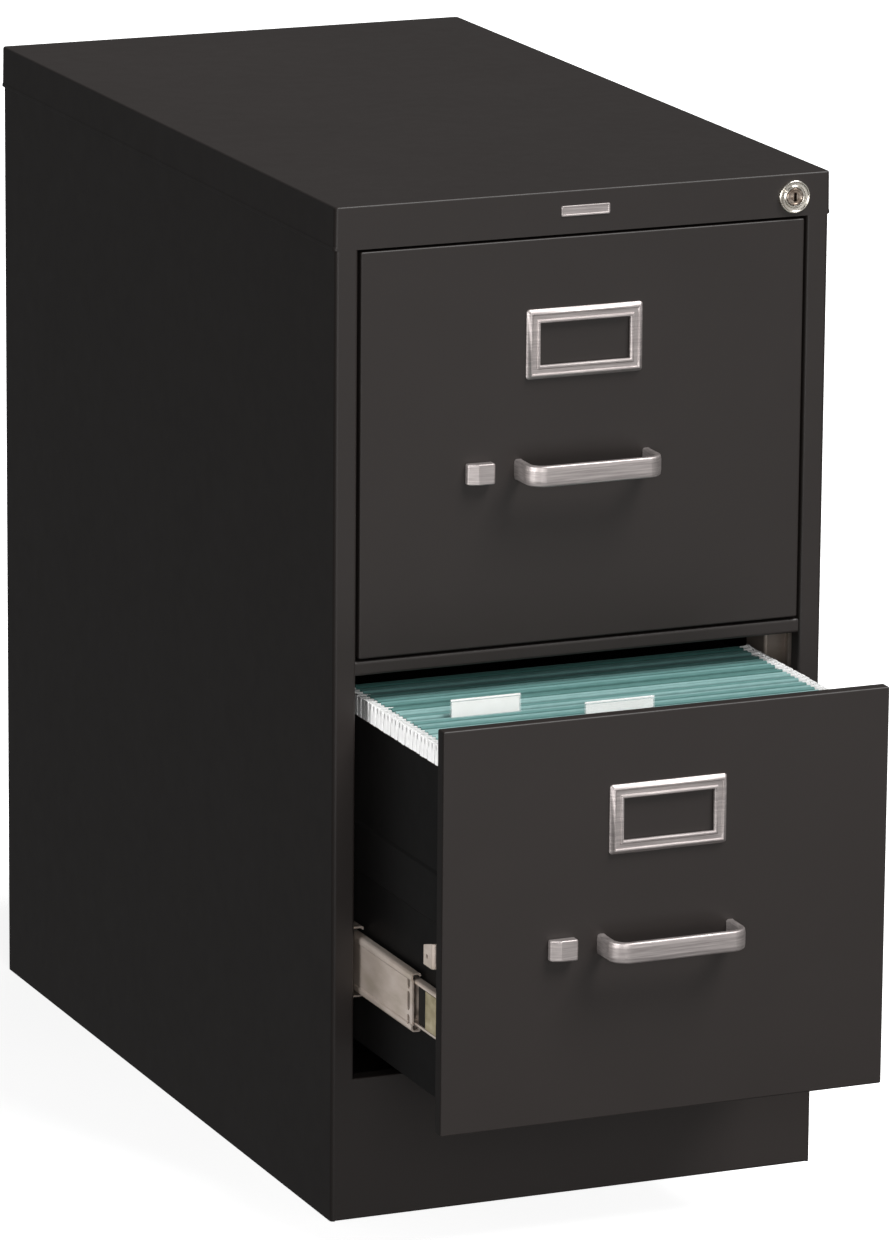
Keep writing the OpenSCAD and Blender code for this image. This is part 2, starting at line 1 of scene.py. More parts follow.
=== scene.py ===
import json
import math

import bmesh
import bpy
import numpy as np
from mathutils import Matrix, Vector

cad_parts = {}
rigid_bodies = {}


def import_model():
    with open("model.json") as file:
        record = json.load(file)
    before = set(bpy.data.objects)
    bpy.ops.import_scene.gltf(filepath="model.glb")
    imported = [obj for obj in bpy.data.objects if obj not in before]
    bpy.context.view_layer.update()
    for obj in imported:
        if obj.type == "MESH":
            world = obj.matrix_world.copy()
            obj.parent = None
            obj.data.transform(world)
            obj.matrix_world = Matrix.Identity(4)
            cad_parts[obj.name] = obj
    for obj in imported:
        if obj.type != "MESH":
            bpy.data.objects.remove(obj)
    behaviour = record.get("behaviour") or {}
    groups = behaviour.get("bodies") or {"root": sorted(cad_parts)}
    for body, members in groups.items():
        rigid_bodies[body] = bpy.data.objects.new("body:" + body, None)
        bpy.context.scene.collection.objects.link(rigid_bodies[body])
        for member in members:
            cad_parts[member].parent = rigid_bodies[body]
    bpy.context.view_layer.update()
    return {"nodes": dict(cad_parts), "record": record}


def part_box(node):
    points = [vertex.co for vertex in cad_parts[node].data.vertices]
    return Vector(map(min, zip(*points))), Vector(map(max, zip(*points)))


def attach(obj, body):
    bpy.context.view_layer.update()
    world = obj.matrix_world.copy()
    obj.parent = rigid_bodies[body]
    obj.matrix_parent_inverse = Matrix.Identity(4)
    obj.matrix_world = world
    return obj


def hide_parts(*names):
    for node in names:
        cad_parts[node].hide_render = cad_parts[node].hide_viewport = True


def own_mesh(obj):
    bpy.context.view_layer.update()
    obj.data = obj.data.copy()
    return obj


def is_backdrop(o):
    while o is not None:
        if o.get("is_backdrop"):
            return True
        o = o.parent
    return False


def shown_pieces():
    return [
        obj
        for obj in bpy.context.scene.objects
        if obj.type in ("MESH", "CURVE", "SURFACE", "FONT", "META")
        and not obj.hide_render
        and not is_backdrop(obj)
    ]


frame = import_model()
rng = np.random.default_rng(29)

# camera: a long lens from the left, a little above the cabinet
view = {
    "location": (-2.2349, -5.2312, 1.8161),
    "azimuth": 23.148,
    "elevation": 14.288,
    "roll": 0.484,
    "lens": 230.9,
}


def addCamera():
    azimuth, elevation, roll = (math.radians(view[k]) for k in ("azimuth", "elevation", "roll"))
    ahead = Vector((math.sin(azimuth) * math.cos(elevation), math.cos(azimuth) * math.cos(elevation),
                    -math.sin(elevation)))
    right = ahead.cross(Vector((0, 0, 1))).normalized()
    up = right.cross(ahead)
    turnedRight = right * math.cos(roll) + up * math.sin(roll)
    turnedUp = up * math.cos(roll) - right * math.sin(roll)
    data = bpy.data.cameras.new("cabinetCamera")
    data.lens = view["lens"]
    camera = bpy.data.objects.new("cabinetCamera", data)
    bpy.context.scene.collection.objects.link(camera)
    axes = Matrix((turnedRight, turnedUp, -ahead)).transposed().to_4x4()
    camera.matrix_world = Matrix.Translation(view["location"]) @ axes
    bpy.context.scene.camera = camera


addCamera()
print("camera placed")


def toLinear(hexColour):
    # sRGB hex to the linear colour that a shader takes
    value = np.array([int(hexColour[i:i + 2], 16) for i in (1, 3, 5)]) / 255
    linear = np.where(value <= 0.04045, value / 12.92, ((value + 0.055) / 1.055) ** 2.4)
    return (*linear.tolist(), 1.0)


def addNode(tree, kind, settings=None, links=None):
    # a setting is a colour ramp's stops, the value of an input socket, or else a property;
    # a link comes from a socket, or from a node's first output
    node = tree.nodes.new(kind)
    for key, value in (settings or {}).items():
        if key == "stops":
            steps = node.color_ramp.elements
            while len(steps) < len(value):
                steps.new(0.5)
            for step, (position, colour) in zip(steps, value):
                step.position, step.color = position, toLinear(colour)
        elif isinstance(key, int) or key in node.inputs:
            node.inputs[key].default_value = value
        else:
            setattr(node, key, value)
    for key, source in (links or {}).items():
        socket = source if isinstance(source, bpy.types.NodeSocket) else source.outputs[0]
        tree.links.new(socket, node.inputs[key])
    return node


def newFinish(name):
    finish = bpy.data.materials.new(name)
    finish.use_nodes = True
    tree = finish.node_tree
    tree.nodes.clear()
    return finish, tree, addNode(tree, "ShaderNodeTexCoord").outputs["Object"]


def addShader(tree, settings, links):
    shader = addNode(tree, "ShaderNodeBsdfPrincipled", settings, links)
    addNode(tree, "ShaderNodeOutputMaterial", links={"Surface": shader})


def toneAndGloss(tree, tone, stops, grain, gloss, span=(0.3, 0.7)):
    # one pattern picks the colour between stops, another the roughness between two ends
    colour = addNode(tree, "ShaderNodeValToRGB", {"stops": list(stops)}, {"Fac": tone})
    ends = {"From Min": span[0], "From Max": span[1], "To Min": gloss[0], "To Max": gloss[1]}
    rough = addNode(tree, "ShaderNodeMapRange", ends, {"Value": grain})
    return {"Base Color": colour, "Roughness": rough}


def addPatterns(tree, place, look, details):
    # a noise of the given detail for each size named in the look; its features are that many
    # millimetres across, or as many along X, Y and Z as the size gives
    patterns = []
    for key, detail in details.items():
        scale = (1000 / np.broadcast_to(look[key], 3)).tolist()
        grains = addNode(tree, "ShaderNodeMapping", {"Scale": scale}, {"Vector": place})
        patterns.append(addNode(tree, "ShaderNodeTexNoise", {"Scale": 1, "Detail": detail},
                                {"Vector": grains}))
    return patterns


def sprayedPaint(name, look):
    # polyester powder coat on sheet steel: soft satin gloss over a fine orange peel, with
    # faint handling marks in the gloss and a slow waviness that the flat sheet has
    finish, tree, place = newFinish(name)
    # real orange peel is about 1 mm across; it is drawn a little coarser so that it shows
    cloud, rub, peel, wave = addPatterns(tree, place, look,
                                         {"cloud": 3, "rub": 6, "peel": 2, "wave": 0})
    sheetBump = addNode(tree, "ShaderNodeBump",
                        {"Strength": 0.6, "Distance": look["waveDepth"] / 1000}, {"Height": wave})
    peelBump = addNode(tree, "ShaderNodeBump",
                       {"Strength": 0.5, "Distance": look["peelDepth"] / 1000},
                       {"Height": peel, "Normal": sheetBump})
    addShader(tree, {"Specular IOR Level": look["specular"]},
              {**toneAndGloss(tree, cloud, zip((0.3, 0.7), look["tones"]), rub, look["gloss"]),
               "Normal": peelBump})
    return finish


def platedMetal(name, look):
    # plated steel or zinc: a metal whose grain runs one way, brushed or rolled before plating,
    # with a cloudy tone left by the plating bath
    finish, tree, place = newFinish(name)
    cloud, grain = addPatterns(tree, place, look, {"cloud": 4, "grain": 3})
    lines = addNode(tree, "ShaderNodeBump", {"Strength": look["cut"], "Distance": 0.0002},
                    {"Height": grain})
    stops = zip((0.3, 0.5, 0.7), look["tones"])
    addShader(tree, {"Metallic": look.get("metal", 1)},
              {**toneAndGloss(tree, cloud, stops, grain, look["gloss"]), "Normal": lines})
    return finish


def mouldedPlastic(name, look):
    # injection-moulded plastic: even colour with slight flow marks and a fine spark-eroded
    # texture; a smooth card with a fainter, finer texture is made in the same way
    finish, tree, place = newFinish(name)
    flow, spark = addPatterns(tree, place, look, {"flow": 4, "spark": 2})
    bump = addNode(tree, "ShaderNodeBump", {"Strength": 0.4, "Distance": look["depth"] / 1000},
                   {"Height": spark})
    addShader(tree, {},
              {**toneAndGloss(tree, flow, zip((0.3, 0.7), look["tones"]), spark, look["gloss"]),
               "Normal": bump})
    return finish


def folderCard(name, look):
    # pressed card stock, dyed through: matt, fibrous, each leaf a slightly different shade; the
    # leafShade attribute also carries painted shade, darker towards the back of the drawer
    finish, tree, place = newFinish(name)
    shade = addNode(tree, "ShaderNodeAttribute", {"attribute_name": "leafShade"}).outputs["Fac"]
    fibre, = addPatterns(tree, place, look, {"fibre": 5})
    cloudy = addNode(tree, "ShaderNodeMath", {"operation": "MULTIPLY_ADD", 1: look["mottle"]},
                     {0: fibre, 2: shade})
    bump = addNode(tree, "ShaderNodeBump", {"Strength": 0.35, "Distance": 0.0002}, {"Height": fibre})
    stops = zip((0.15, 0.6, 1.0), look["tones"])
    addShader(tree, {"Specular IOR Level": 0.3, "Sheen Weight": 0.15},
              {**toneAndGloss(tree, cloudy, stops, fibre, look["gloss"], (0, 1)), "Normal": bump})
    return finish


def clearSleeve(name, look):
    # thin clear polystyrene: glossy, almost colourless, with faint scratches in the gloss
    finish, tree, place = newFinish(name)
    scratch, = addPatterns(tree, place, look, {"scratch": 3})
    gloss = addNode(tree, "ShaderNodeMapRange",
                    {"To Min": look["gloss"][0], "To Max": look["gloss"][1]}, {"Value": scratch})
    addShader(tree, {"Base Color": toLinear(look["tone"]), "Alpha": look["alpha"]},
              {"Roughness": gloss})
    return finish


paint = {"cloud": 90, "rub": 14, "peel": 2.2, "wave": 260, "waveDepth": 0.8, "peelDepth": 0.05,
         "specular": 0.4}
finishes = {
    "charcoal_paint": sprayedPaint("charcoalPowderCoat", {
        **paint, "tones": ("#2A2523", "#2C2725"), "gloss": (0.43, 0.47)}),
    "drawer_paint": sprayedPaint("blackEnamel", {
        **paint, "tones": ("#1B1A1A", "#1F1E1D"), "gloss": (0.5, 0.56)}),
    "satin_nickel": platedMetal("satinNickel", {
        "tones": ("#A09896", "#B4ACAA", "#C6BEBB"), "cloud": (26, 9, 0.9), "grain": (30, 3, 0.7),
        "gloss": (0.42, 0.54), "cut": 0.22, "metal": 0.85}),
    "bright_nickel": platedMetal("brightNickel", {
        "tones": ("#CFC8BC", "#DDD7CC", "#E8E3DA"), "cloud": (8, 8, 8), "grain": (3, 3, 3),
        "gloss": (0.22, 0.3), "cut": 0.08}),
    "zinc_steel": platedMetal("zincPlate", {
        "tones": ("#B3A698", "#C2B4A9", "#CEC2B8"), "cloud": (20, 34, 12),
        "grain": (1.5, 40, 1.5), "gloss": (0.36, 0.46), "cut": 0.12, "metal": 0.6}),
    "black_plastic": mouldedPlastic("blackAcetal", {
        "tones": ("#121212", "#1A1A1A"), "flow": 14, "spark": 0.7, "gloss": (0.35, 0.5),
        "depth": 0.05}),
    "teal_paper": folderCard("tealCard", {
        "tones": ("#376761", "#6A9592", "#9CBFBD"), "fibre": (9, 1.2, 3), "mottle": 0.35,
        "gloss": (0.62, 0.8)}),
    "white_plastic": mouldedPlastic("whiteNylon", {
        "tones": ("#E9E9E8", "#F5F5F4"), "flow": 6, "spark": 0.8, "gloss": (0.35, 0.5),
        "depth": 0.05}),
    "clear_tab": mouldedPlastic("whiteInsertCard", {
        "tones": ("#F1EFEC", "#F8F7F5"), "flow": 9, "spark": 0.5, "gloss": (0.6, 0.75),
        "depth": 0.03}),
}
# finishes of single pieces that differ from their slot's own
clearTab = clearSleeve("clearStyrene", {"tone": "#F7F9F8", "alpha": 0.2, "scratch": (6, 0.4, 0.4),
                                        "gloss": (0.03, 0.18)})
# a thicker yellow passivation than on the members themselves
yellowZinc = platedMetal("yellowZincPlate", {
    "tones": ("#857A58", "#9C9070", "#B3A88A"), "cloud": (9, 12, 9), "grain": (2, 6, 2),
    "gloss": (0.36, 0.46), "cut": 0.1, "metal": 0.6})
# the plug has worn to a darker, warmer tone than the bezel round it
wornPlug = platedMetal("wornNickelPlug", {
    "tones": ("#7A6A5E", "#96877A", "#B5A99D"), "cloud": (3, 3, 3), "grain": (2, 2, 2),
    "gloss": (0.25, 0.4), "cut": 0.1})
print("finishes made")


def ringAngles(steps):
    return np.linspace(0, 2 * math.pi, steps, endpoint=False)


def buildMesh(name, surfaces, shades=None, sharp=38):
    # each surface is (grid of points, rows wrap, columns wrap); neighbouring points make quads
    points, faces, start = [], [], 0
    for grid, wrapRows, wrapColumns in surfaces:
        rows, columns = grid.shape[:2]
        i = np.arange(rows if wrapRows else rows - 1)[:, None]
        j = np.arange(columns if wrapColumns else columns - 1)[None, :]
        nextRow, nextColumn = (i + 1) % rows, (j + 1) % columns
        corners = (i * columns + j, i * columns + nextColumn,
                   nextRow * columns + nextColumn, nextRow * columns + j)
        faces.append(np.stack(np.broadcast_arrays(*corners), -1).reshape(-1, 4) + start)
        points.append(grid.reshape(-1, 3))
        start += rows * columns
    points, faces = np.concatenate(points) / 1000, np.concatenate(faces)
    mesh = bpy.data.meshes.new(name)
    mesh.vertices.add(len(points))
    mesh.vertices.foreach_set("co", points.ravel().astype(np.float32))
    mesh.loops.add(faces.size)
    mesh.loops.foreach_set("vertex_index", faces.ravel().astype(np.int32))
    mesh.polygons.add(len(faces))
    mesh.polygons.foreach_set("loop_start", np.arange(0, faces.size, 4, dtype=np.int32))
    mesh.update(calc_edges=True)
    if shades is not None:
        leafShade = mesh.attributes.new("leafShade", "FLOAT", "POINT")
        leafShade.data.foreach_set("value", shades.astype(np.float32))
    # seams and poles close here, and every wall then faces out
    shape = bmesh.new()
    shape.from_mesh(mesh)
    bmesh.ops.remove_doubles(shape, verts=shape.verts, dist=2e-6)
    bmesh.ops.recalc_face_normals(shape, faces=shape.faces)
    shape.to_mesh(mesh)
    shape.free()
    mesh.shade_smooth()
    mesh.set_sharp_from_angle(angle=math.radians(sharp))
    return mesh


def cutAway(mesh, cutters, sharp=38):
    # takes closed cutter surfaces out of a closed mesh and returns the result
    body = bpy.data.objects.new("blank", mesh)
    tool = bpy.data.objects.new("cutter", buildMesh("cutter", cutters))
    for item in (body, tool):
        bpy.context.scene.collection.objects.link(item)
    step = body.modifiers.new("cut", "BOOLEAN")
    step.operation, step.solver, step.object = "DIFFERENCE", "EXACT", tool
    graph = bpy.context.evaluated_depsgraph_get()
    shaped = bpy.data.meshes.new_from_object(body.evaluated_get(graph))
    bpy.data.objects.remove(body)
    bpy.data.objects.remove(tool)
    shaped.shade_smooth()
    shaped.set_sharp_from_angle(angle=math.radians(sharp))
    return shaped


def nodeBox(name):
    low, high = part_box(name)
    return np.array(low) * 1000, np.array(high) * 1000


def bodyOf(node):
    return frame["nodes"][node].parent.name.split(":", 1)[1]


def addPiece(name, mesh, slotName, body, stands=(), finish=None):
    piece = bpy.data.objects.new(name, mesh)
    mesh.name = name
    mesh.materials.clear()
    mesh.materials.append(finish or finishes[slotName])
    bpy.context.scene.collection.objects.link(piece)
    piece.modifiers.new("evenShading", "WEIGHTED_NORMAL").keep_sharp = True
    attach(piece, body)
    if stands:
        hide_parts(*stands)
    return piece


def replaceNode(node, mesh, slotName, name=None, finish=None):
    # a new piece in a node's place and on its body, named as the node is but in camel case
    first, *rest = node.split("_")
    name = name or first + "".join(word.title() for word in rest)
    return addPiece(name, mesh, slotName, bodyOf(node), [node], finish)


def roundedLine(corners, radius, steps=4, closed=False):
    # a polyline in which each corner becomes an arc that touches both its sides
    corners = np.asarray(corners, float)
    radius = np.broadcast_to(radius, len(corners))
    before, after = np.roll(corners, 1, 0), np.roll(corners, -1, 0)
    line = []
    for k, (p, q, s, r) in enumerate(zip(before, corners, after, radius)):
        if r == 0 or (not closed and k in (0, len(corners) - 1)):
            line.append(q[None])
            continue
        a, b = (q - p) / np.linalg.norm(q - p), (s - q) / np.linalg.norm(s - q)
        turn = math.atan2(a[0] * b[1] - a[1] * b[0], a @ b)
        bend = math.copysign(r, turn)
        inward = bend * np.array([-a[1], a[0]])
        centre = q - a * r * math.tan(abs(turn) / 2) + inward
        angle = np.linspace(0, turn, steps + 1)[:, None]
        line.append(centre - inward * np.cos(angle) + bend * a * np.sin(angle))
    return np.concatenate(line)


def foldedSheet(corners, thickness, radius, steps=4):
    # both edges of a folded sheet's section: corner points run along its right-hand face,
    # and a bend has this radius on its inner side
    corners = np.asarray(corners, float)
    radius = np.broadcast_to(radius, len(corners))
    along = np.diff(corners, axis=0)
    along /= np.linalg.norm(along, axis=1)[:, None]
    left = np.stack([-along[:, 1], along[:, 0]], -1)
    right, far = [corners[:1]], [corners[:1] + thickness * left[:1]]
    for k in range(1, len(corners) - 1):
        a, b = along[k - 1], along[k]
        turn = math.atan2(a[0] * b[1] - a[1] * b[0], a @ b)
        side = math.copysign(1, turn)
        edge = radius[k] + (thickness if side > 0 else 0)
        centre = corners[k] - a * edge * math.tan(abs(turn) / 2) + side * edge * left[k - 1]
        angle = math.atan2(a[1], a[0]) + np.linspace(0, turn, steps + 1)
        out = np.stack([-np.sin(angle), np.cos(angle)], -1)
        right.append(centre - side * edge * out)
        far.append(centre - side * (edge - side * thickness) * out)
    right.append(corners[-1:])
    far.append(corners[-1:] + thickness * left[-1:])
    return np.concatenate(right), np.concatenate(far)


def sheetRun(edges, low, high, axis):
    # a folded section carried straight along one axis (0, 1 or 2), closed at both ends
    right, far = edges
    loop = np.concatenate([right, far[::-1]])
    walls = np.stack([np.insert(loop, axis, t, 1) for t in (low, high)])
    ends = [(np.stack([np.insert(edge, axis, t, 1) for edge in edges]), False, False)
            for t in (low, high)]
    return [(walls, False, True)] + ends


def blockRun(low, high, soft=0.6):
    # a block between two corners, its long upright edges rounded
    low, high = np.minimum(low, high), np.maximum(low, high)
    size, middle = high - low, (low + high) / 2
    profile = np.array([[0.5, 0.5, 0], [0, 0, 0], [0, 0, 1], [0.5, 0.5, 1]])
    outline = roundedFrame(size[0], size[1], soft, profile * size + [0, 0, low[2]], 3)
    return [(outline + middle * [1, 1, 0], False, True)]


def roundedFrame(width, height, corner, profile, steps=6):
    # each profile row is (inset across, inset up, depth): the outline at that depth is a rounded
    # rectangle that much smaller on each side, and it closes to a line at the middle
    inset, depth = profile[:, :2], profile[:, 2]
    halfWidth = np.maximum(width / 2 - inset[:, 0], 0)[:, None, None]
    halfHeight = np.maximum(height / 2 - inset[:, 1], 0)[:, None, None]
    r = np.clip(corner - inset.min(1)[:, None, None], 0, np.minimum(halfWidth, halfHeight))
    angle = np.arange(4)[:, None] * math.pi / 2 + np.linspace(0, math.pi / 2, steps + 1)
    signX = np.array([1, -1, -1, 1])[:, None]
    signY = np.array([1, 1, -1, -1])[:, None]
    u = signX * (halfWidth - r) + r * np.cos(angle)
    v = signY * (halfHeight - r) + r * np.sin(angle)
    d = np.broadcast_to(depth[:, None, None], u.shape)
    return np.stack([u, v, d], -1).reshape(len(profile), -1, 3)


def uprightFrame(line, low, high, face, corner, steps=6):
    # a profile of (inset, distance back from the face) carried round a box's front outline
    grid = roundedFrame(high[0] - low[0], high[2] - low[2], corner, line[:, [0, 0, 1]], steps)
    middle = (low + high) / 2
    return np.stack([middle[0] + grid[..., 0], face + grid[..., 2], middle[2] + grid[..., 1]], -1)


def turned(profile, centre, steps=64):
    # rows of (radius, distance back) turned about an axis that runs front to back
    angle = ringAngles(steps)
    radius, back = profile[:, 0][:, None], profile[:, 1][:, None]
    x, z = centre[0] + radius * np.cos(angle), centre[2] + radius * np.sin(angle)
    return np.stack([x, centre[1] + back + 0 * angle, z], -1)


def drill(centre, radius, front, back, steps=24):
    # a round cutter between two distances back from its centre
    rows = np.array([[0, front], [radius, front], [radius, back], [0, back]])
    return (turned(rows, centre, steps), False, True)


def prism(outline, middle, low, high, axis):
    # a flat outline carried from low to high along one axis; its ends close at a middle point
    middle = np.broadcast_to(middle, outline.shape)
    section = np.stack([middle, outline, outline, middle])
    along = np.array([low, low, high, high])[:, None] + 0 * outline[:, 0]
    return (np.insert(section, axis, along, -1), False, True)


capLow, capHigh = nodeBox("top_cap")
caseLow, caseHigh = nodeBox("right_side_panel")
lockLow, lockHigh = nodeBox("lock_housing")
lockCentre = np.array([(lockLow[0] + lockHigh[0]) / 2, capLow[1], (lockLow[2] + lockHigh[2]) / 2])
topCap = {"sheet": 1.0, "topBend": 1.6, "corner": 3.0, "flare": 0.9, "hem": 2.4, "hemOut": 0.5,
          "frontDepth": 2.2, "lockHole": 9.7}


def makeTopCap():
    # a pan whose skirt flares out to a rolled hem; depth is height, from the inside of the
    # roof down the inner skirt, round the hem, up the outer skirt and over the roof
    c = topCap
    t, hemTop, bottom, top = c["sheet"], capLow[2] + c["hem"], capLow[2], capHigh[2]
    width, depth = capHigh[0] - capLow[0], capHigh[1] - capLow[1]
    line = roundedLine([[width / 2, top - t], [t + c["flare"], top - t], [t + c["hemOut"], hemTop],
                        [t + 0.4, bottom], [0, bottom], [0, hemTop], [c["hemOut"], hemTop + 0.6],
                        [c["flare"], top], [width / 2, top]],
                       [0, 1.2, 0.3, 0.3, 0.55, 0.4, 0.3, c["topBend"], 0], 5)
    # the front keeps its skirt upright, so the flare is only across
    inset = line[:, 0]
    upright = np.where(inset < c["frontDepth"], np.maximum(inset - c["flare"], 0), inset)
    profile = np.stack([inset, upright, line[:, 1]], -1)
    grid = roundedFrame(width, depth, c["corner"], profile)
    grid[..., 1] += (capLow[1] + capHigh[1]) / 2
    mesh = cutAway(buildMesh("topCap", [(grid, False, True)]),
                   [drill(lockCentre, c["lockHole"], -6, 6, 64)])
    replaceNode("top_cap", mesh, "charcoal_paint")


makeTopCap()
sidePanels = {"sheet": 1.0, "frontCorner": 2.0, "bend": 1.0, "stileReturn": 12.0,
              "rearFlange": 14.0, "lap": 1.1, "capRoom": 18.0, "toeRoom": 14.0}


def makeSidePanels():
    # one sheet folded round stile, side and rear flange, and carried up to the roof
    c = sidePanels
    inner, outer = caseLow[0], caseHigh[0]
    front, back, top = caseLow[1], caseHigh[1], caseHigh[2]
    section = foldedSheet([[inner, front + c["stileReturn"]], [inner, front], [outer, front],
                           [outer, back], [outer - c["rearFlange"], back]],
                          c["sheet"], [0, c["bend"], c["frontCorner"], c["frontCorner"], 0], 8)
    # the stile ends under the cap's skirt, and below the lower drawer the toe panel takes its
    # place, where the joint is filled
    cutter = blockRun([inner - 2, front - 2, capLow[2]], [outer + 2, front + c["capRoom"], top + 5], 0)
    cutter += blockRun([inner - 2, front - 2, -2],
                       [toeHalf, front + c["toeRoom"], toeTop - c["lap"]], 0)
    for side, name in ((1, "right_side_panel"), (-1, "left_side_panel")):
        flip = np.array([side, 1, 1])
        walls = [(g * flip, a, b) for g, a, b in sheetRun(section, caseLow[2], top, 2)]
        mesh = cutAway(buildMesh(name, walls), [(g * flip, a, b) for g, a, b in cutter])
        replaceNode(name, mesh, "charcoal_paint")


def makeToePanel():
    # folded back at its top and foot, and flush with the rounded corners at each side
    low, high = nodeBox("base_front_panel")
    section = foldedSheet([[high[1], high[2]], [low[1], high[2]], [low[1], low[2]], [high[1], low[2]]],
                          sidePanels["sheet"], [0, 0.1, 0.6, 0], 4)
    walls = sheetRun(section, -toeHalf + 0.02, toeHalf - 0.02, 0)
    replaceNode("base_front_panel", buildMesh("toePanel", walls), "charcoal_paint", "toePanel")


toeTop = nodeBox("base_front_panel")[1][2]
toeHalf = caseHigh[0] - sidePanels["frontCorner"] - sidePanels["sheet"]
makeSidePanels()
makeToePanel()
print("case made")


frontPan = {"sheet": 1.0, "lip": 8.0, "edge": 1.3, "rearEdge": 1.0, "corner": 1.4,
            "screwHole": 2.75, "slotRoom": 0.4, "stem": (6.0, 8.0), "slide": 7.0, "through": 4.0}


def makeFront(which):
    # a shallow pan: face, four returns and inturned lips; depth runs back from the face
    c = frontPan
    low, high = nodeBox(f"{which}_front")
    height, depth, t = high[2] - low[2], high[1] - low[1], c["sheet"]
    line = roundedLine([[height / 2, t], [t, t], [t, depth - t], [c["lip"], depth - t],
                        [c["lip"], depth], [0, depth], [0, 0], [height / 2, 0]],
                       [0, 0.4, 0.4, 0, 0, c["rearEdge"], c["edge"], 0], 5)
    grid = uprightFrame(line, low, high, low[1], c["corner"])
    pullLow, pullHigh = nodeBox(f"{which}_pull")
    screwLow, screwHigh = nodeBox(f"{which}_pull_screws")
    thumbLow, thumbHigh = nodeBox(f"{which}_thumb_latch")
    z, reach = (pullLow[2] + pullHigh[2]) / 2, c["through"]
    screwX = screwHigh[0] - (screwHigh[2] - screwLow[2]) / 2
    cutters = [drill((x, low[1], z), c["screwHole"], -reach, reach, 32) for x in (-screwX, screwX)]
    # the latch's stem slides to the right in its slot
    middle, room = (thumbLow[0] + thumbHigh[0]) / 2, c["slotRoom"]
    wide, tall = c["stem"][0] / 2 + room, c["stem"][1] / 2 + room
    cutters += blockRun([middle - wide, low[1] - reach, z - tall],
                        [middle + wide + c["slide"], low[1] + reach, z + tall], 0)
    mesh = cutAway(buildMesh(f"{which}Front", [(grid, False, True)]), cutters)
    replaceNode(f"{which}_front", mesh, "charcoal_paint")


labelHolder = {"border": 10.0, "bevel": 2.6, "band": 2.7, "corner": 2.2, "pocket": 5.0,
               "pocketDepth": 1.0}


def makeLabelHolder(which):
    # a pressed frame: outer bevel, flat band, rolled inner lip and the card pocket behind
    c = labelHolder
    low, high = nodeBox(f"{which}_label_holder")
    out, border, bevel, deep = high[1] - low[1], c["border"], c["bevel"], c["pocketDepth"]
    line = roundedLine([[0, 0], [0, -1.0], [bevel, -out + 0.2], [bevel + 0.9, -out + 0.2],
                        [bevel + 1.6, -c["band"]], [border - 2.8, -c["band"]],
                        [border - 2.0, -out], [border - 0.8, -out], [border, -out + 1.2],
                        [border, -deep], [c["pocket"], -deep], [c["pocket"], 0]],
                       [0.1, 0.3, 0.35, 0.3, 0.3, 0.3, 0.45, 0.45, 0.4, 0, 0, 0.1], 4, closed=True)
    grid = uprightFrame(line, low, high, high[1], c["corner"], 5)
    replaceNode(f"{which}_label_holder", buildMesh("labelHolder", [(grid, True, True)], sharp=50),
                "satin_nickel")


pull = {"thick": 5.0, "elbow": 13.0, "crown": 0.5, "edge": 1.5, "foot": 1.25, "footReach": 2.2,
        "bulge": 6.0, "rings": 41, "screwHole": 1.4, "screwDepth": 10.0}


def makePull(which):
    # a cast strap: a rounded section carried from foot to foot round two elbows
    c = pull
    low, high = nodeBox(f"{which}_pull")
    out, tall, t = high[1] - low[1], high[2] - low[2], c["thick"]
    footX, z = (high[0] - low[0]) / 2 - t / 2, (low[2] + high[2]) / 2
    elbow = c["elbow"] - t / 2
    middle = roundedLine([[-footX, 0], [-footX, -out + t / 2], [footX, -out + t / 2], [footX, 0]],
                         [0, elbow, elbow, 0], 12)
    # more rings along the straight grip and legs, then the ends close
    reach = np.concatenate([[0], np.cumsum(np.linalg.norm(np.diff(middle, axis=0), axis=1))])
    at = np.unique(np.concatenate([reach, np.linspace(0, reach[-1], c["rings"])]))
    path = np.stack([np.interp(at, reach, middle[:, k]) for k in (0, 1)], -1)
    along = np.gradient(path, at, axis=0)
    along /= np.linalg.norm(along, axis=1)[:, None]
    side = np.stack([along[:, 1], -along[:, 0]], -1)
    flare = 1 + (c["foot"] - 1) * np.exp(-(np.minimum(at, at[-1] - at) / c["footReach"]) ** 2)
    # the outer face bulges a little between its rounded edges
    crown, edge, bulge = t / 2 - c["crown"], c["edge"], c["bulge"]
    section = roundedLine([[-t / 2, -tall / 2], [crown, -tall / 2], [t / 2, -tall / 4],
                           [t / 2, tall / 4], [crown, tall / 2], [-t / 2, tall / 2]],
                          [edge, edge, bulge, bulge, edge, edge], 5, closed=True)
    plan = path[:, None] + side[:, None] * section[None, :, :1] * flare[:, None, None]
    grid = np.concatenate([plan, np.broadcast_to(section[:, 1:], plan[..., :1].shape)], -1)
    ends = [np.append(path[k], 0) + 0 * grid[:1] for k in (0, -1)]
    grid = np.concatenate([ends[0], grid, ends[1]]) + [0, high[1], z]
    cutters = [drill((x, high[1], z), c["screwHole"], -c["screwDepth"], 4) for x in (-footX, footX)]
    mesh = cutAway(buildMesh("pull", [(grid, False, True)], sharp=50), cutters, 50)
    replaceNode(f"{which}_pull", mesh, "satin_nickel")


thumbLatch = {"ridge": 0.36, "drop": 2.2, "soft": 1.1, "clear": 0.4, "stem": (3.0, 4.0)}


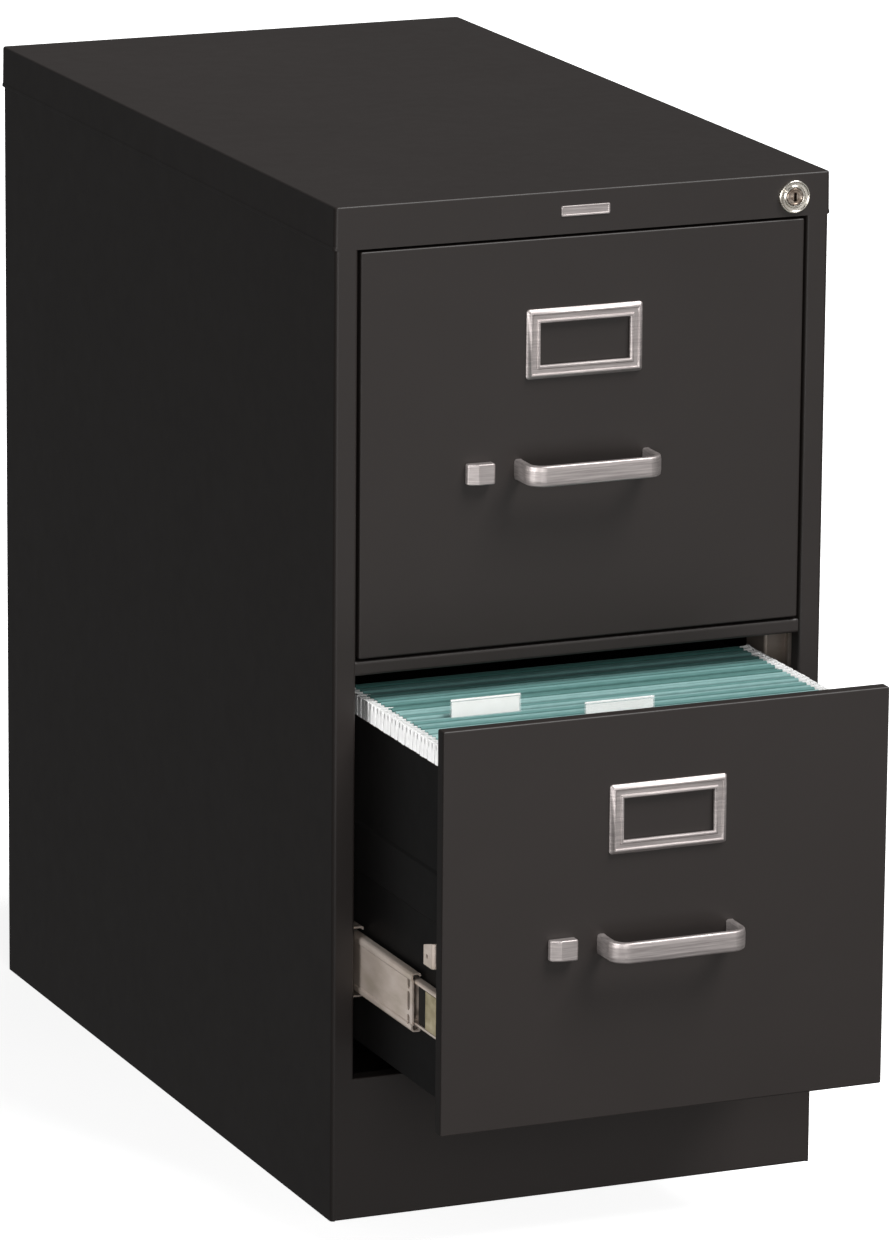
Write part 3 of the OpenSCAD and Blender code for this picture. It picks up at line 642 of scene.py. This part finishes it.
def makeThumbLatch(which):
    # a thumb block: a rounded scoop on its left third, a ridge, and a flat face; each ring up
    # the block is the plan outline, drawn in towards the middle at the soft top and bottom
    c = thumbLatch
    low, high = nodeBox(f"{which}_thumb_latch")
    left, right, face = low[0], high[0], low[1]
    back = nodeBox(f"{which}_front")[0][1] - c["clear"]
    ridge, tall = left + (right - left) * c["ridge"], high[2] - low[2]
    outline = roundedLine([[left, back], [left, face + c["drop"] + 1.2], [ridge - 2.2, face + 1.0],
                           [ridge, face], [right, face], [right, back]],
                          [0.3, 2.2, 3.0, 0.7, 1.6, 0.3], 5, closed=True)
    centre = np.array([(left + right) / 2, (face + back) / 2])
    angle = np.linspace(0, math.pi / 2, 5)
    rise, draw = c["soft"] * (1 - np.cos(angle)), c["soft"] * (1 - np.sin(angle))
    height = np.concatenate([[0], rise, tall - rise[::-1], [tall]])
    inset = np.concatenate([[np.inf], draw, draw[::-1], [np.inf]])
    arm = outline - centre
    shrink = np.clip(1 - inset[:, None] / np.linalg.norm(arm, axis=1)[None], 0, 1)
    plan = centre + arm[None] * shrink[..., None]
    plan[..., 1] = np.minimum(plan[..., 1], back)
    level = np.broadcast_to((low[2] + height)[:, None, None], plan[..., :1].shape)
    block = (np.concatenate([plan, level], -1), False, True)
    stemX, stemZ = (low + high)[[0, 2]] / 2
    wide, up = c["stem"]
    stem = blockRun([stemX - wide, back - 0.5, stemZ - up], [stemX + wide, high[1], stemZ + up], 0.4)
    replaceNode(f"{which}_thumb_latch", buildMesh("thumbLatch", [block] + stem, sharp=30),
                "satin_nickel")


latchBar = {"sheet": 2.0, "tall": 18.0, "bar": 16.0, "barStart": 20.4, "barBack": 1.5,
            "armReach": 24.4, "hole": 1.6, "holeAt": (2.0, -2.0), "slant": 4.2}


def makeLatchBar(which):
    # a strip behind the face whose end steps out through the drawer side and turns back into a
    # plate with a small hole; the plate's top falls towards the back
    c = latchBar
    low, high = nodeBox(f"{which}_latch_bar")
    start, z = low[1] + c["barBack"], (low[2] + high[2]) / 2
    strip = blockRun([low[0] + c["barStart"], start, z - c["bar"] / 2],
                     [high[0], start + c["sheet"], z + c["bar"] / 2], 0.1)
    hooked = foldedSheet([[low[0], high[1]], [low[0], low[1]], [low[0] + c["armReach"], low[1]]],
                         c["sheet"], [0, 0.8, 0], 5)
    top, angle = z + c["tall"] / 2, ringAngles(24)
    hole = (c["hole"] * np.stack([np.cos(angle), np.sin(angle)], -1)
            + [(low[1] + high[1]) / 2 + c["holeAt"][0], z + c["holeAt"][1]])
    slant = np.array([[low[1] + 2, top], [high[1] + 1, top - c["slant"]], [high[1] + 1, top + 1],
                      [low[1] + 2, top + 1]])
    cutters = [prism(rim, rim.mean(0), low[0] - 4, low[0] + 4, 0) for rim in (hole, slant)]
    walls = strip + sheetRun(hooked, z - c["tall"] / 2, top, 2)
    replaceNode(f"{which}_latch_bar", cutAway(buildMesh("latchBar", walls), cutters), "zinc_steel")


latchSpring = {"wire": 0.9, "turns": 5, "steps": 24, "around": 8, "keep": 0.68}


def makeLatchSpring(which):
    # a coil whose wire circles at radius r: (x + t, r cos t, r sin t)
    c = latchSpring
    low, high = nodeBox(f"{which}_latch_spring")
    middle, half = (low + high) / 2, c["wire"] / 2
    turn = np.linspace(0, 2 * math.pi * c["turns"], c["turns"] * c["steps"] + 1)[:, None]
    angle = ringAngles(c["around"])[None]
    wire = np.full(len(turn) + 2, half)[:, None]
    wire[[0, -1]] = 0
    turn = np.concatenate([turn[:1], turn, turn[-1:]])
    x = low[0] + half + (high[0] - low[0] - c["wire"]) * turn / turn[-1] + wire * np.sin(angle)
    r = (high[2] - low[2]) / 2 - half + wire * np.cos(angle)
    grid = np.stack([x, middle[1] + r * np.cos(turn), middle[2] + r * np.sin(turn)], -1)
    spring = replaceNode(f"{which}_latch_spring", buildMesh("latchSpring", [(grid, False, True)]),
                         "zinc_steel")
    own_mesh(spring)


for which in ("upper", "lower"):
    for make in (makeFront, makeLatchBar, makeLatchSpring, makeLabelHolder, makePull, makeThumbLatch):
        make(which)
print("drawer fronts made")


lock = {"plug": 6.2, "clear": 0.05, "ring": 7.5, "dish": 10.2, "dishDepth": 1.6, "barrel": 9.5,
        "keyway": (2.2, 6.6, 0.5), "dot": 1.15, "dotAt": (-7.4, 4.6), "camReach": 9.0,
        "camHalf": 4.0, "camThick": 2.0, "camRoom": 6.0, "camTurn": -45, "pin": 2.0}


def makeLock():
    # bezel: a closed profile turned about the lock's axis, from the bore out over the standing
    # ring, down into the dish, over the rim and back along the barrel
    c = lock
    proud, deep = lockCentre[1] - lockLow[1], lockHigh[1] - lockCentre[1]
    rim, bore, dish = (lockHigh[0] - lockLow[0]) / 2, c["plug"] + c["clear"], c["dishDepth"] - proud
    profile = roundedLine([[bore, deep], [bore, -2.1], [c["ring"], -2.4], [c["ring"] + 0.8, dish],
                           [c["dish"], dish - 0.3], [rim - 1.2, -proud], [rim - 0.1, -proud + 1.2],
                           [rim, 0], [c["barrel"], 0], [c["barrel"], deep]],
                          [0, 0.4, 0.5, 0.4, 0.6, 0.8, 1.0, 0, 0, 0], 5, closed=True)
    bezel = buildMesh("lockHousing", [(turned(profile, lockCentre, 96), True, True)])
    dotCentre = lockCentre + [c["dotAt"][0], 0, c["dotAt"][1]]
    replaceNode("lock_housing", cutAway(bezel, [drill(dotCentre, c["dot"], -4, -0.7)], 50),
                "bright_nickel")

    # plug: a stepped face with a keyway, and the cam that turns behind it
    plugLow, plugHigh = nodeBox("lock_plug")
    front, camBack = plugLow[1] - lockCentre[1], plugHigh[1] - lockCentre[1]
    camFront = camBack - c["camRoom"]
    profile = roundedLine([[0, front + 0.25], [2.6, front + 0.2], [3.0, front + 0.5],
                           [4.6, front + 0.45], [5.0, front + 0.05], [c["plug"], front + 0.2],
                           [c["plug"], camFront + 1], [0, camFront + 1]],
                          [0, 0.2, 0.2, 0.2, 0.2, 0.4, 0, 0], 4)
    wide, tall, soft = c["keyway"]
    keyway = blockRun(lockCentre + [-wide / 2, front - 2, -tall / 2],
                      lockCentre + [wide / 2, 9, tall / 2], soft)
    plug = buildMesh("lockPlug", [(turned(profile, lockCentre, 72), False, True)])
    replaceNode("lock_plug", cutAway(plug, keyway, 50), "bright_nickel", finish=wornPlug)
    # cam: a plate with round ends, and the pin that lifts the lock bar
    reach, half, turn = c["camReach"], c["camHalf"], math.radians(c["camTurn"])
    angle = np.linspace(0, math.pi, 13)
    arc = half * np.stack([np.sin(angle), np.cos(angle)], -1)
    spin = np.array([[math.cos(turn), math.sin(turn)], [-math.sin(turn), math.cos(turn)]])
    start, axis = lockCentre[[0, 2]], lockCentre[1]
    outline = np.concatenate([arc + [reach, 0], -arc]) @ spin + start
    plate = prism(outline, np.array([reach / 2, 0]) @ spin + start, axis + camFront,
                  axis + camFront + c["camThick"], 1)
    pinAt = lockCentre + [reach * math.cos(turn), 0, reach * math.sin(turn)]
    pin = turned(np.array([[0, camFront + 1], [c["pin"], camFront + 1], [c["pin"], camBack - 0.3],
                           [c["pin"] - 0.3, camBack], [0, camBack]]), pinAt, 24)
    addPiece("lockCam", buildMesh("lockCam", [plate, (pin, False, True)]), "zinc_steel",
             bodyOf("lock_plug"))


namePlate = {"border": 1.1, "rise": 0.35, "corner": 1.0}


def makeNamePlate():
    # a plain plate with a raised border
    c = namePlate
    low, high = nodeBox("name_plate")
    half, thick, field = (high[2] - low[2]) / 2, high[1] - low[1], c["rise"] + low[1] - high[1]
    line = roundedLine([[half, 0], [0, 0], [0, -thick], [c["border"], -thick],
                        [c["border"] + 0.3, field], [half, field]], [0, 0.1, 0.3, 0.1, 0.1, 0], 3)
    grid = uprightFrame(line, low, high, high[1], c["corner"], 5)
    replaceNode("name_plate", buildMesh("namePlate", [(grid, False, True)]), "satin_nickel")


makeLock()
makeNamePlate()
print("lock and name plate made")


slides = {"sheet": 1.2, "lip": 2.6, "roll": 1.5, "recess": 0.8, "edge": 5.0,
          "hole": 3.5, "wideHole": 5.0, "holeStart": 35.0, "holeEnd": 55.0,
          # staked notches of the middle member: distance up from its middle, and half length
          "notch": 2.1, "notchBack": 7.0, "notches": ((12.5, 1.6), (0, 4.8), (-13.5, 1.4))}


def makeSlide(which, side, member):
    # a rolled channel: web, two flanges and curled lips, one section along its whole length
    c = slides
    name = f"{which}_{side}_{member}_slide"
    low, high = nodeBox(name)
    z0, z1, isMiddle = low[2], high[2], member == "middle"
    # cabinet and middle members open towards the drawer, the drawer member opens away from it
    lipX, webX = (low[0], high[0]) if (side == "right") != (member == "drawer") else (high[0], low[0])
    corners = np.array([[lipX, z0 + c["lip"]], [lipX, z0], [webX, z0],
                        [webX, z1], [lipX, z1], [lipX, z1 - c["lip"]]])
    bends = [0, 0.5, c["roll"], c["roll"], 0.5, 0]
    if isMiddle:
        # the web is pressed in between its two edges, which stiffens it
        inX, edge = webX + math.copysign(c["recess"], lipX - webX), c["edge"]
        pressed = [[webX, z0 + edge], [inX, z0 + edge + 1], [inX, z1 - edge - 1], [webX, z1 - edge]]
        corners = np.concatenate([corners[:3], pressed, corners[3:]])
        bends[3:3] = [0.3] * 4
    if lipX > webX:
        corners = corners[::-1]
    section = foldedSheet(corners, c["sheet"], bends, 5)
    angle = ringAngles(24)

    def slot(y, z, radius, half=0.0):
        # a round-ended hole right through the web
        up = radius * np.sin(angle) + np.where(np.sin(angle) > 0, half, -half)
        rim = np.stack([y + radius * np.cos(angle), z + up], -1)
        return prism(rim, (y, z), webX - 4, webX + 4, 0)
    room = high[1] - low[1] - c["holeStart"] - c["holeEnd"]
    cutters = [slot(low[1] + c["holeStart"] + k * room / 3, (z0 + z1) / 2,
                    c["wideHole"] if isMiddle else c["hole"]) for k in range(int(isMiddle), 4)]
    if isMiddle:
        # three notches near the front end, where the stop and the bearings are staked
        cutters += [slot(low[1] + c["notchBack"], (z0 + z1) / 2 + up, c["notch"], half)
                    for up, half in c["notches"]]
    mesh = cutAway(buildMesh(name, sheetRun(section, low[1], high[1], 1)), cutters)
    replaceNode(name, mesh, "zinc_steel")


slideStops = {"blockBack": 32.0, "blockDeep": 13.0, "webGap": 1.3, "lipGap": 1.6,
              "plate": 1.2, "plateAhead": 9.0, "plateDeep": 25.0, "flangeGap": 1.9}


def makeSlideStops(which):
    # a stop block in each drawer member, and ahead of it a plate that closes the member's end
    c = slideStops
    low, high = nodeBox(f"{which}_slide_stops")
    back, start = low[1] + c["blockBack"], low[1] - c["plateAhead"]
    bottom, top = low[2] + c["flangeGap"], high[2] - c["flangeGap"]
    blocks, plates = [], []
    for side in ("left", "right"):
        left, right = (corner[0] for corner in nodeBox(f"{which}_{side}_drawer_slide"))
        lipX, webX, inward = (left, right, 1) if side == "left" else (right, left, -1)
        inner = webX - inward * c["webGap"]
        blocks += blockRun([inner, back - c["blockDeep"], low[2]],
                           [lipX + inward * c["lipGap"], back, high[2]], 0.8)
        plates += blockRun([lipX, start, bottom],
                           [lipX + inward * c["plate"], start + c["plateDeep"], top], 0.3)
        plates += blockRun([lipX, start, bottom], [inner, start + c["plate"], top], 0.3)
    replaceNode(f"{which}_slide_stops", buildMesh("slideStops", blocks), "black_plastic")
    addPiece(f"{which}SlideEndPlates", buildMesh("endPlates", plates), "zinc_steel",
             bodyOf(f"{which}_slide_stops"), finish=yellowZinc)


for which in ("upper", "lower"):
    makeSlideStops(which)
    for side in ("left", "right"):
        for member in ("cabinet", "middle", "drawer"):
            makeSlide(which, side, member)
print("slides made")


folders = {"count": 14, "leafShares": (0.25, 0.75), "gap": 0.8, "card": 0.45, "bead": 1.15,
           "turnIn": 9.0, "pinch": (7.0, 11.0), "crease": 26.0, "wave": 0.5, "waveLengths": (95, 31),
           "swayDepth": 60.0, "sag": 0.35, "columns": 28}
foldersLow, foldersHigh = nodeBox("hanging_folders")
hooksHigh = nodeBox("folder_hooks")[1]
folderPitch = (foldersHigh[1] - foldersLow[1] + folders["gap"]) / folders["count"]
folderDeep = folderPitch - folders["gap"]
folderBody = bodyOf("hanging_folders")
rodTop = hooksHigh[2] - 0.4


def makeFolders():
    # each folder is one card: over the front rod, down the front leaf, round the crease and up
    # the back leaf to the other rod; the section is carried across with a slow wave in it
    c = folders
    top, bottom, bead = rodTop, foldersLow[2], c["bead"]
    tuck, crease = top - c["turnIn"], bottom + c["crease"]
    neck, waist = (top - down for down in c["pinch"])
    x = np.linspace(foldersLow[0], foldersHigh[0], c["columns"])
    surfaces, shades = [], []
    for k in range(c["count"]):
        start = foldersLow[1] + k * folderPitch
        front, back = (start + folderDeep * share for share in c["leafShares"])
        middle = (front + back) / 2
        line = roundedLine([[front + bead, tuck], [front + bead, top], [front - bead, top],
                            [front - bead, neck], [front - 0.4, waist], [front - 0.3, crease],
                            [middle - 0.4, bottom], [middle + 0.4, bottom], [back + 0.3, crease],
                            [back + 0.4, waist], [back + bead, neck], [back + bead, top],
                            [back - bead, top], [back - bead, tuck]],
                           [0, bead, bead, 2, 3, 20, 0.3, 0.3, 20, 3, 2, bead, bead, 0], 5)
        along = np.gradient(line, axis=0)
        along /= np.linalg.norm(along, axis=1)[:, None]
        out = np.stack([-along[:, 1], along[:, 0]], -1)
        loop = np.concatenate([line, (line - out * c["card"])[::-1]])
        # the sheet sways between its rods and is pressed flat near them
        depth = np.clip((top - loop[:, 1]) / c["swayDepth"], 0, 1)
        drop = rng.uniform(0, 0.9)
        phase, slow = rng.uniform(0, 2 * math.pi, 2), rng.uniform(0.8, 1.6)
        longWave, shortWave = c["waveLengths"]
        sway = c["wave"] * (np.sin(x / longWave * slow + phase[0])
                            + 0.5 * np.sin(x / shortWave + phase[1]))
        sag = c["sag"] * np.sin((x - x[0]) / (x[-1] - x[0]) * math.pi) * rng.uniform(0, 1)
        y = loop[None, :, 0] + sway[:, None] * (0.25 + 0.75 * depth[None])
        y = np.clip(y, start + 0.02, start + folderDeep - 0.02)
        # the back leaf hangs a little lower than the front one
        lower = drop * (0.5 + 0.5 * np.sign(loop[None, :, 0] - middle))
        z = loop[None, :, 1] - sag[:, None] - lower
        grid = np.stack([np.broadcast_to(x[:, None], y.shape), y, z], -1)
        n = len(line)
        caps = [(np.stack([grid[e, :n], grid[e, n:][::-1]]), False, False) for e in (0, -1)]
        surfaces += [(grid, False, True)] + caps
        # the two leaves differ in shade at random, and so does each folder; the steady fall from the
        # front folder to the back one is painted shade, darker deeper in the drawer
        tone = 0.72 - 0.62 * k / (c["count"] - 1) + rng.uniform(-0.24, 0.24, 2)
        backLeaf = 1 / (1 + np.exp(-(loop[:, 0] - middle) / 0.4))
        shade = tone[0] * (1 - backLeaf) + tone[1] * backLeaf
        shades += [np.broadcast_to(shade, y.shape).ravel()]
        shades += [np.stack([shade[:n], shade[n:][::-1]]).ravel()] * 2
    mesh = buildMesh("hangingFolders", surfaces, np.concatenate(shades), sharp=50)
    replaceNode("hanging_folders", mesh, "teal_paper")


hooks = {"thick": 1.6, "arm": 4.6, "overlap": 12.0, "rise": 1.6, "tipDeep": 5.7, "tipThick": 1.5,
         "tipHeight": 14.6, "uneven": 0.5}


def makeHooks():
    # each rod ends in two coated hooks: an arm that runs out over the drawer's edge to a flat tip
    # that hangs down outside it; no two hang quite alike
    c = hooks
    surfaces = []
    inner, outer = foldersHigh[0] - c["overlap"], hooksHigh[0]
    rods = [foldersLow[1] + k * folderPitch + folderDeep * share
            for k in range(folders["count"]) for share in folders["leafShares"]]
    for y in rods:
        for side in (1, -1):
            top = hooksHigh[2] + rng.uniform(-c["uneven"], 0)
            edge = outer + rng.uniform(-0.45, 0)
            root, under = top - c["rise"], top - c["arm"]
            outline = roundedLine([[inner, root], [inner + 8, top - 0.9], [edge, top],
                                   [edge, under], [inner, under - c["rise"]]],
                                  [0.2, 2, 0.8, 0.3, 0.2], 3, closed=True)
            middle = np.array([(inner + edge) / 2, top - c["arm"] / 2 - c["rise"] / 2])
            share = np.array([0.0, 0.97, 1.0, 1.0, 0.97, 0.0])[:, None, None]
            rings = middle + (outline - middle) * share
            depth = np.array([-1, -1, -0.6, 0.6, 1, 1])[:, None] * c["thick"] / 2 + y
            arm = np.insert(rings, 1, depth + 0 * rings[..., 0], -1)
            surfaces.append((arm * [side, 1, 1], False, True))
            deep = c["tipDeep"] + rng.uniform(-c["uneven"], 0)
            tip = blockRun([edge - c["tipThick"], y - deep / 2, top - c["tipHeight"]],
                           [edge, y + deep / 2, top], 0.5)
            surfaces += [(grid * [side, 1, 1], rows, columns) for grid, rows, columns in tip]
    replaceNode("folder_hooks", buildMesh("folderHooks", surfaces, sharp=45), "white_plastic")


tabs = {"wall": 0.35, "sleeveDeep": 2.2, "lean": 0.6, "skirt": 4.0, "cardThick": 0.45,
        "cardInset": (0.8, 3.0, 2.2), "fold": (0.4, 0.6, 1.5, 0.5)}


def makeTabs():
    # clear sleeve folded over at the top, open below, round a white card; the CAD node holds
    # both tabs, so each one's place is read from its own points
    c = tabs
    source = frame["nodes"]["index_tabs"].data.vertices
    co = np.empty(len(source) * 3, np.float32)
    source.foreach_get("co", co)
    co = co.reshape(-1, 3) * 1000
    split = (co[:, 0].min() + co[:, 0].max()) / 2
    for name, points in (("left", co[co[:, 0] < split]), ("right", co[co[:, 0] > split])):
        low, high = points.min(0), points.max(0)
        y, half, foot = (low[1] + high[1]) / 2, c["sleeveDeep"] / 2, low[2] - c["skirt"]
        section = foldedSheet([[y + half + c["lean"], foot], [y + half, high[2]],
                               [y - half, high[2]], [y - half - c["lean"], foot]],
                              c["wall"], [0, 0.7, 0.7, 0], 4)
        sleeve = buildMesh("tabSleeve", sheetRun(section, low[0], high[0], 0))
        addPiece(f"{name}TabSleeve", sleeve, "clear_tab", folderBody, ["index_tabs"], clearTab)
        # the card stops short of the top, where the sleeve's folded edge shows white above a
        # dark line
        side, below, above = c["cardInset"]
        card = blockRun([low[0] + side, y - c["cardThick"], low[2] - below],
                        [high[0] - side, y, high[2] - above], 0.1)
        side, deep, bottom, top = c["fold"]
        fold = blockRun([low[0] + side, y - deep, high[2] - bottom],
                        [high[0] - side, y + deep, high[2] - top], 0.1)
        addPiece(f"{name}TabCard", buildMesh("tabCard", card + fold), "clear_tab", folderBody)


makeFolders()
makeHooks()
makeTabs()
print("folders made")

# the nodes that show as they are take their slot's finish
for part in frame["record"]["subparts"]:
    node = frame["nodes"][part["node"]]
    node.data.materials.clear()
    node.data.materials.append(finishes[part["material_slot"]])


darkSlots = ("charcoal_paint", "drawer_paint", "black_plastic", "teal_paper")
studio = {"floorHalf": 14.0, "floorGlow": 0.85, "world": 0.13,
          "sun": (0.42, -0.48, 0.92), "sunStrength": 3.2, "sunAngle": 28, "sunGloss": 0.35,
          # each card: place, what it faces, width, brightness, and whether only bright parts take it
          "cards": {"front": ((1.0, -2.4, 0.3), (0, -0.3, 0.4), 1.5, 0.75, False),
                    "key": ((-1.0, -3.2, 0.9), (0, -0.3, 0.4), 1.5, 5.5, False),
                    "left": ((-2.5, -1.0, 1.0), (0, -0.3, 0.4), 1.6, 8.0, True),
                    "slide": ((-0.74, 1.0, -0.18), (-0.17, -0.33, 0.19), 0.8, 0.6, True)}}


def paintedFloor():
    # matt white studio board with a very faint mottle, lit through from below
    finish, tree, place = newFinish("paleStudioBoard")
    mottle = addNode(tree, "ShaderNodeTexNoise", {"Scale": 1.2, "Detail": 3}, {"Vector": place})
    colour = addNode(tree, "ShaderNodeValToRGB", {"stops": [(0.3, "#F6F6F6"), (0.7, "#FAFAFA")]},
                     {"Fac": mottle})
    addShader(tree, {"Emission Strength": studio["floorGlow"], "Roughness": 0.9,
                     "Specular IOR Level": 0.1}, {"Base Color": colour, "Emission Color": colour})
    return finish


def addLamp(name, kind, settings, matrix):
    data = bpy.data.lights.new(name, kind)
    for key, value in settings.items():
        setattr(data, key, value)
    lamp = bpy.data.objects.new(name, data)
    lamp.matrix_world = matrix
    lamp.visible_camera = False
    bpy.context.scene.collection.objects.link(lamp)
    return lamp


def addStudio():
    scene = bpy.context.scene
    scene.view_settings.view_transform = "Standard"
    world = bpy.data.worlds.new("softStudio")
    scene.world = world
    world.use_nodes = True
    sky = world.node_tree.nodes["Background"].inputs
    sky["Color"].default_value = (1, 1, 1, 1)
    sky["Strength"].default_value = studio["world"]
    side = np.linspace(-studio["floorHalf"], studio["floorHalf"], 9) * 1000
    x, y = np.meshgrid(side, side, indexing="ij")
    board = buildMesh("floor", [(np.stack([x, y, 0 * x], -1), False, False)])
    floor = bpy.data.objects.new("floor", board)
    if floor.data.polygons[0].normal.z < 0:
        floor.data.flip_normals()
    floor.data.materials.append(paintedFloor())
    scene.collection.objects.link(floor)
    # the cabinet neither mirrors the floor nor takes light from it, and cards can stand below it
    floor.visible_diffuse = floor.visible_glossy = floor.visible_shadow = False
    floor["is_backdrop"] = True
    toSun = Vector(studio["sun"])
    addLamp("sun", "SUN", {"energy": studio["sunStrength"], "angle": math.radians(studio["sunAngle"]),
                           "specular_factor": studio["sunGloss"]},
            toSun.to_track_quat("Z", "Y").to_matrix().to_4x4())
    # flagged cards are kept off the painted steel, which stays dark from the left
    brightParts = bpy.data.collections.new("brightParts")
    dark = [finishes[name] for name in darkSlots]
    carriedOver = set(frame["nodes"].values())
    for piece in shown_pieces():
        if piece not in carriedOver and piece.data.materials[0] not in dark:
            brightParts.objects.link(piece)
    for name, (place, target, width, bright, flagged) in studio["cards"].items():
        place = Vector(place)
        turn = (Vector(target) - place).to_track_quat("-Z", "Y").to_matrix().to_4x4()
        lamp = addLamp(name + "Card", "AREA",
                       {"shape": "SQUARE", "size": width, "energy": bright * math.pi * width ** 2},
                       Matrix.Translation(place) @ turn)
        if flagged:
            lamp.light_linking.receiver_collection = brightParts


addStudio()
print("studio lit")
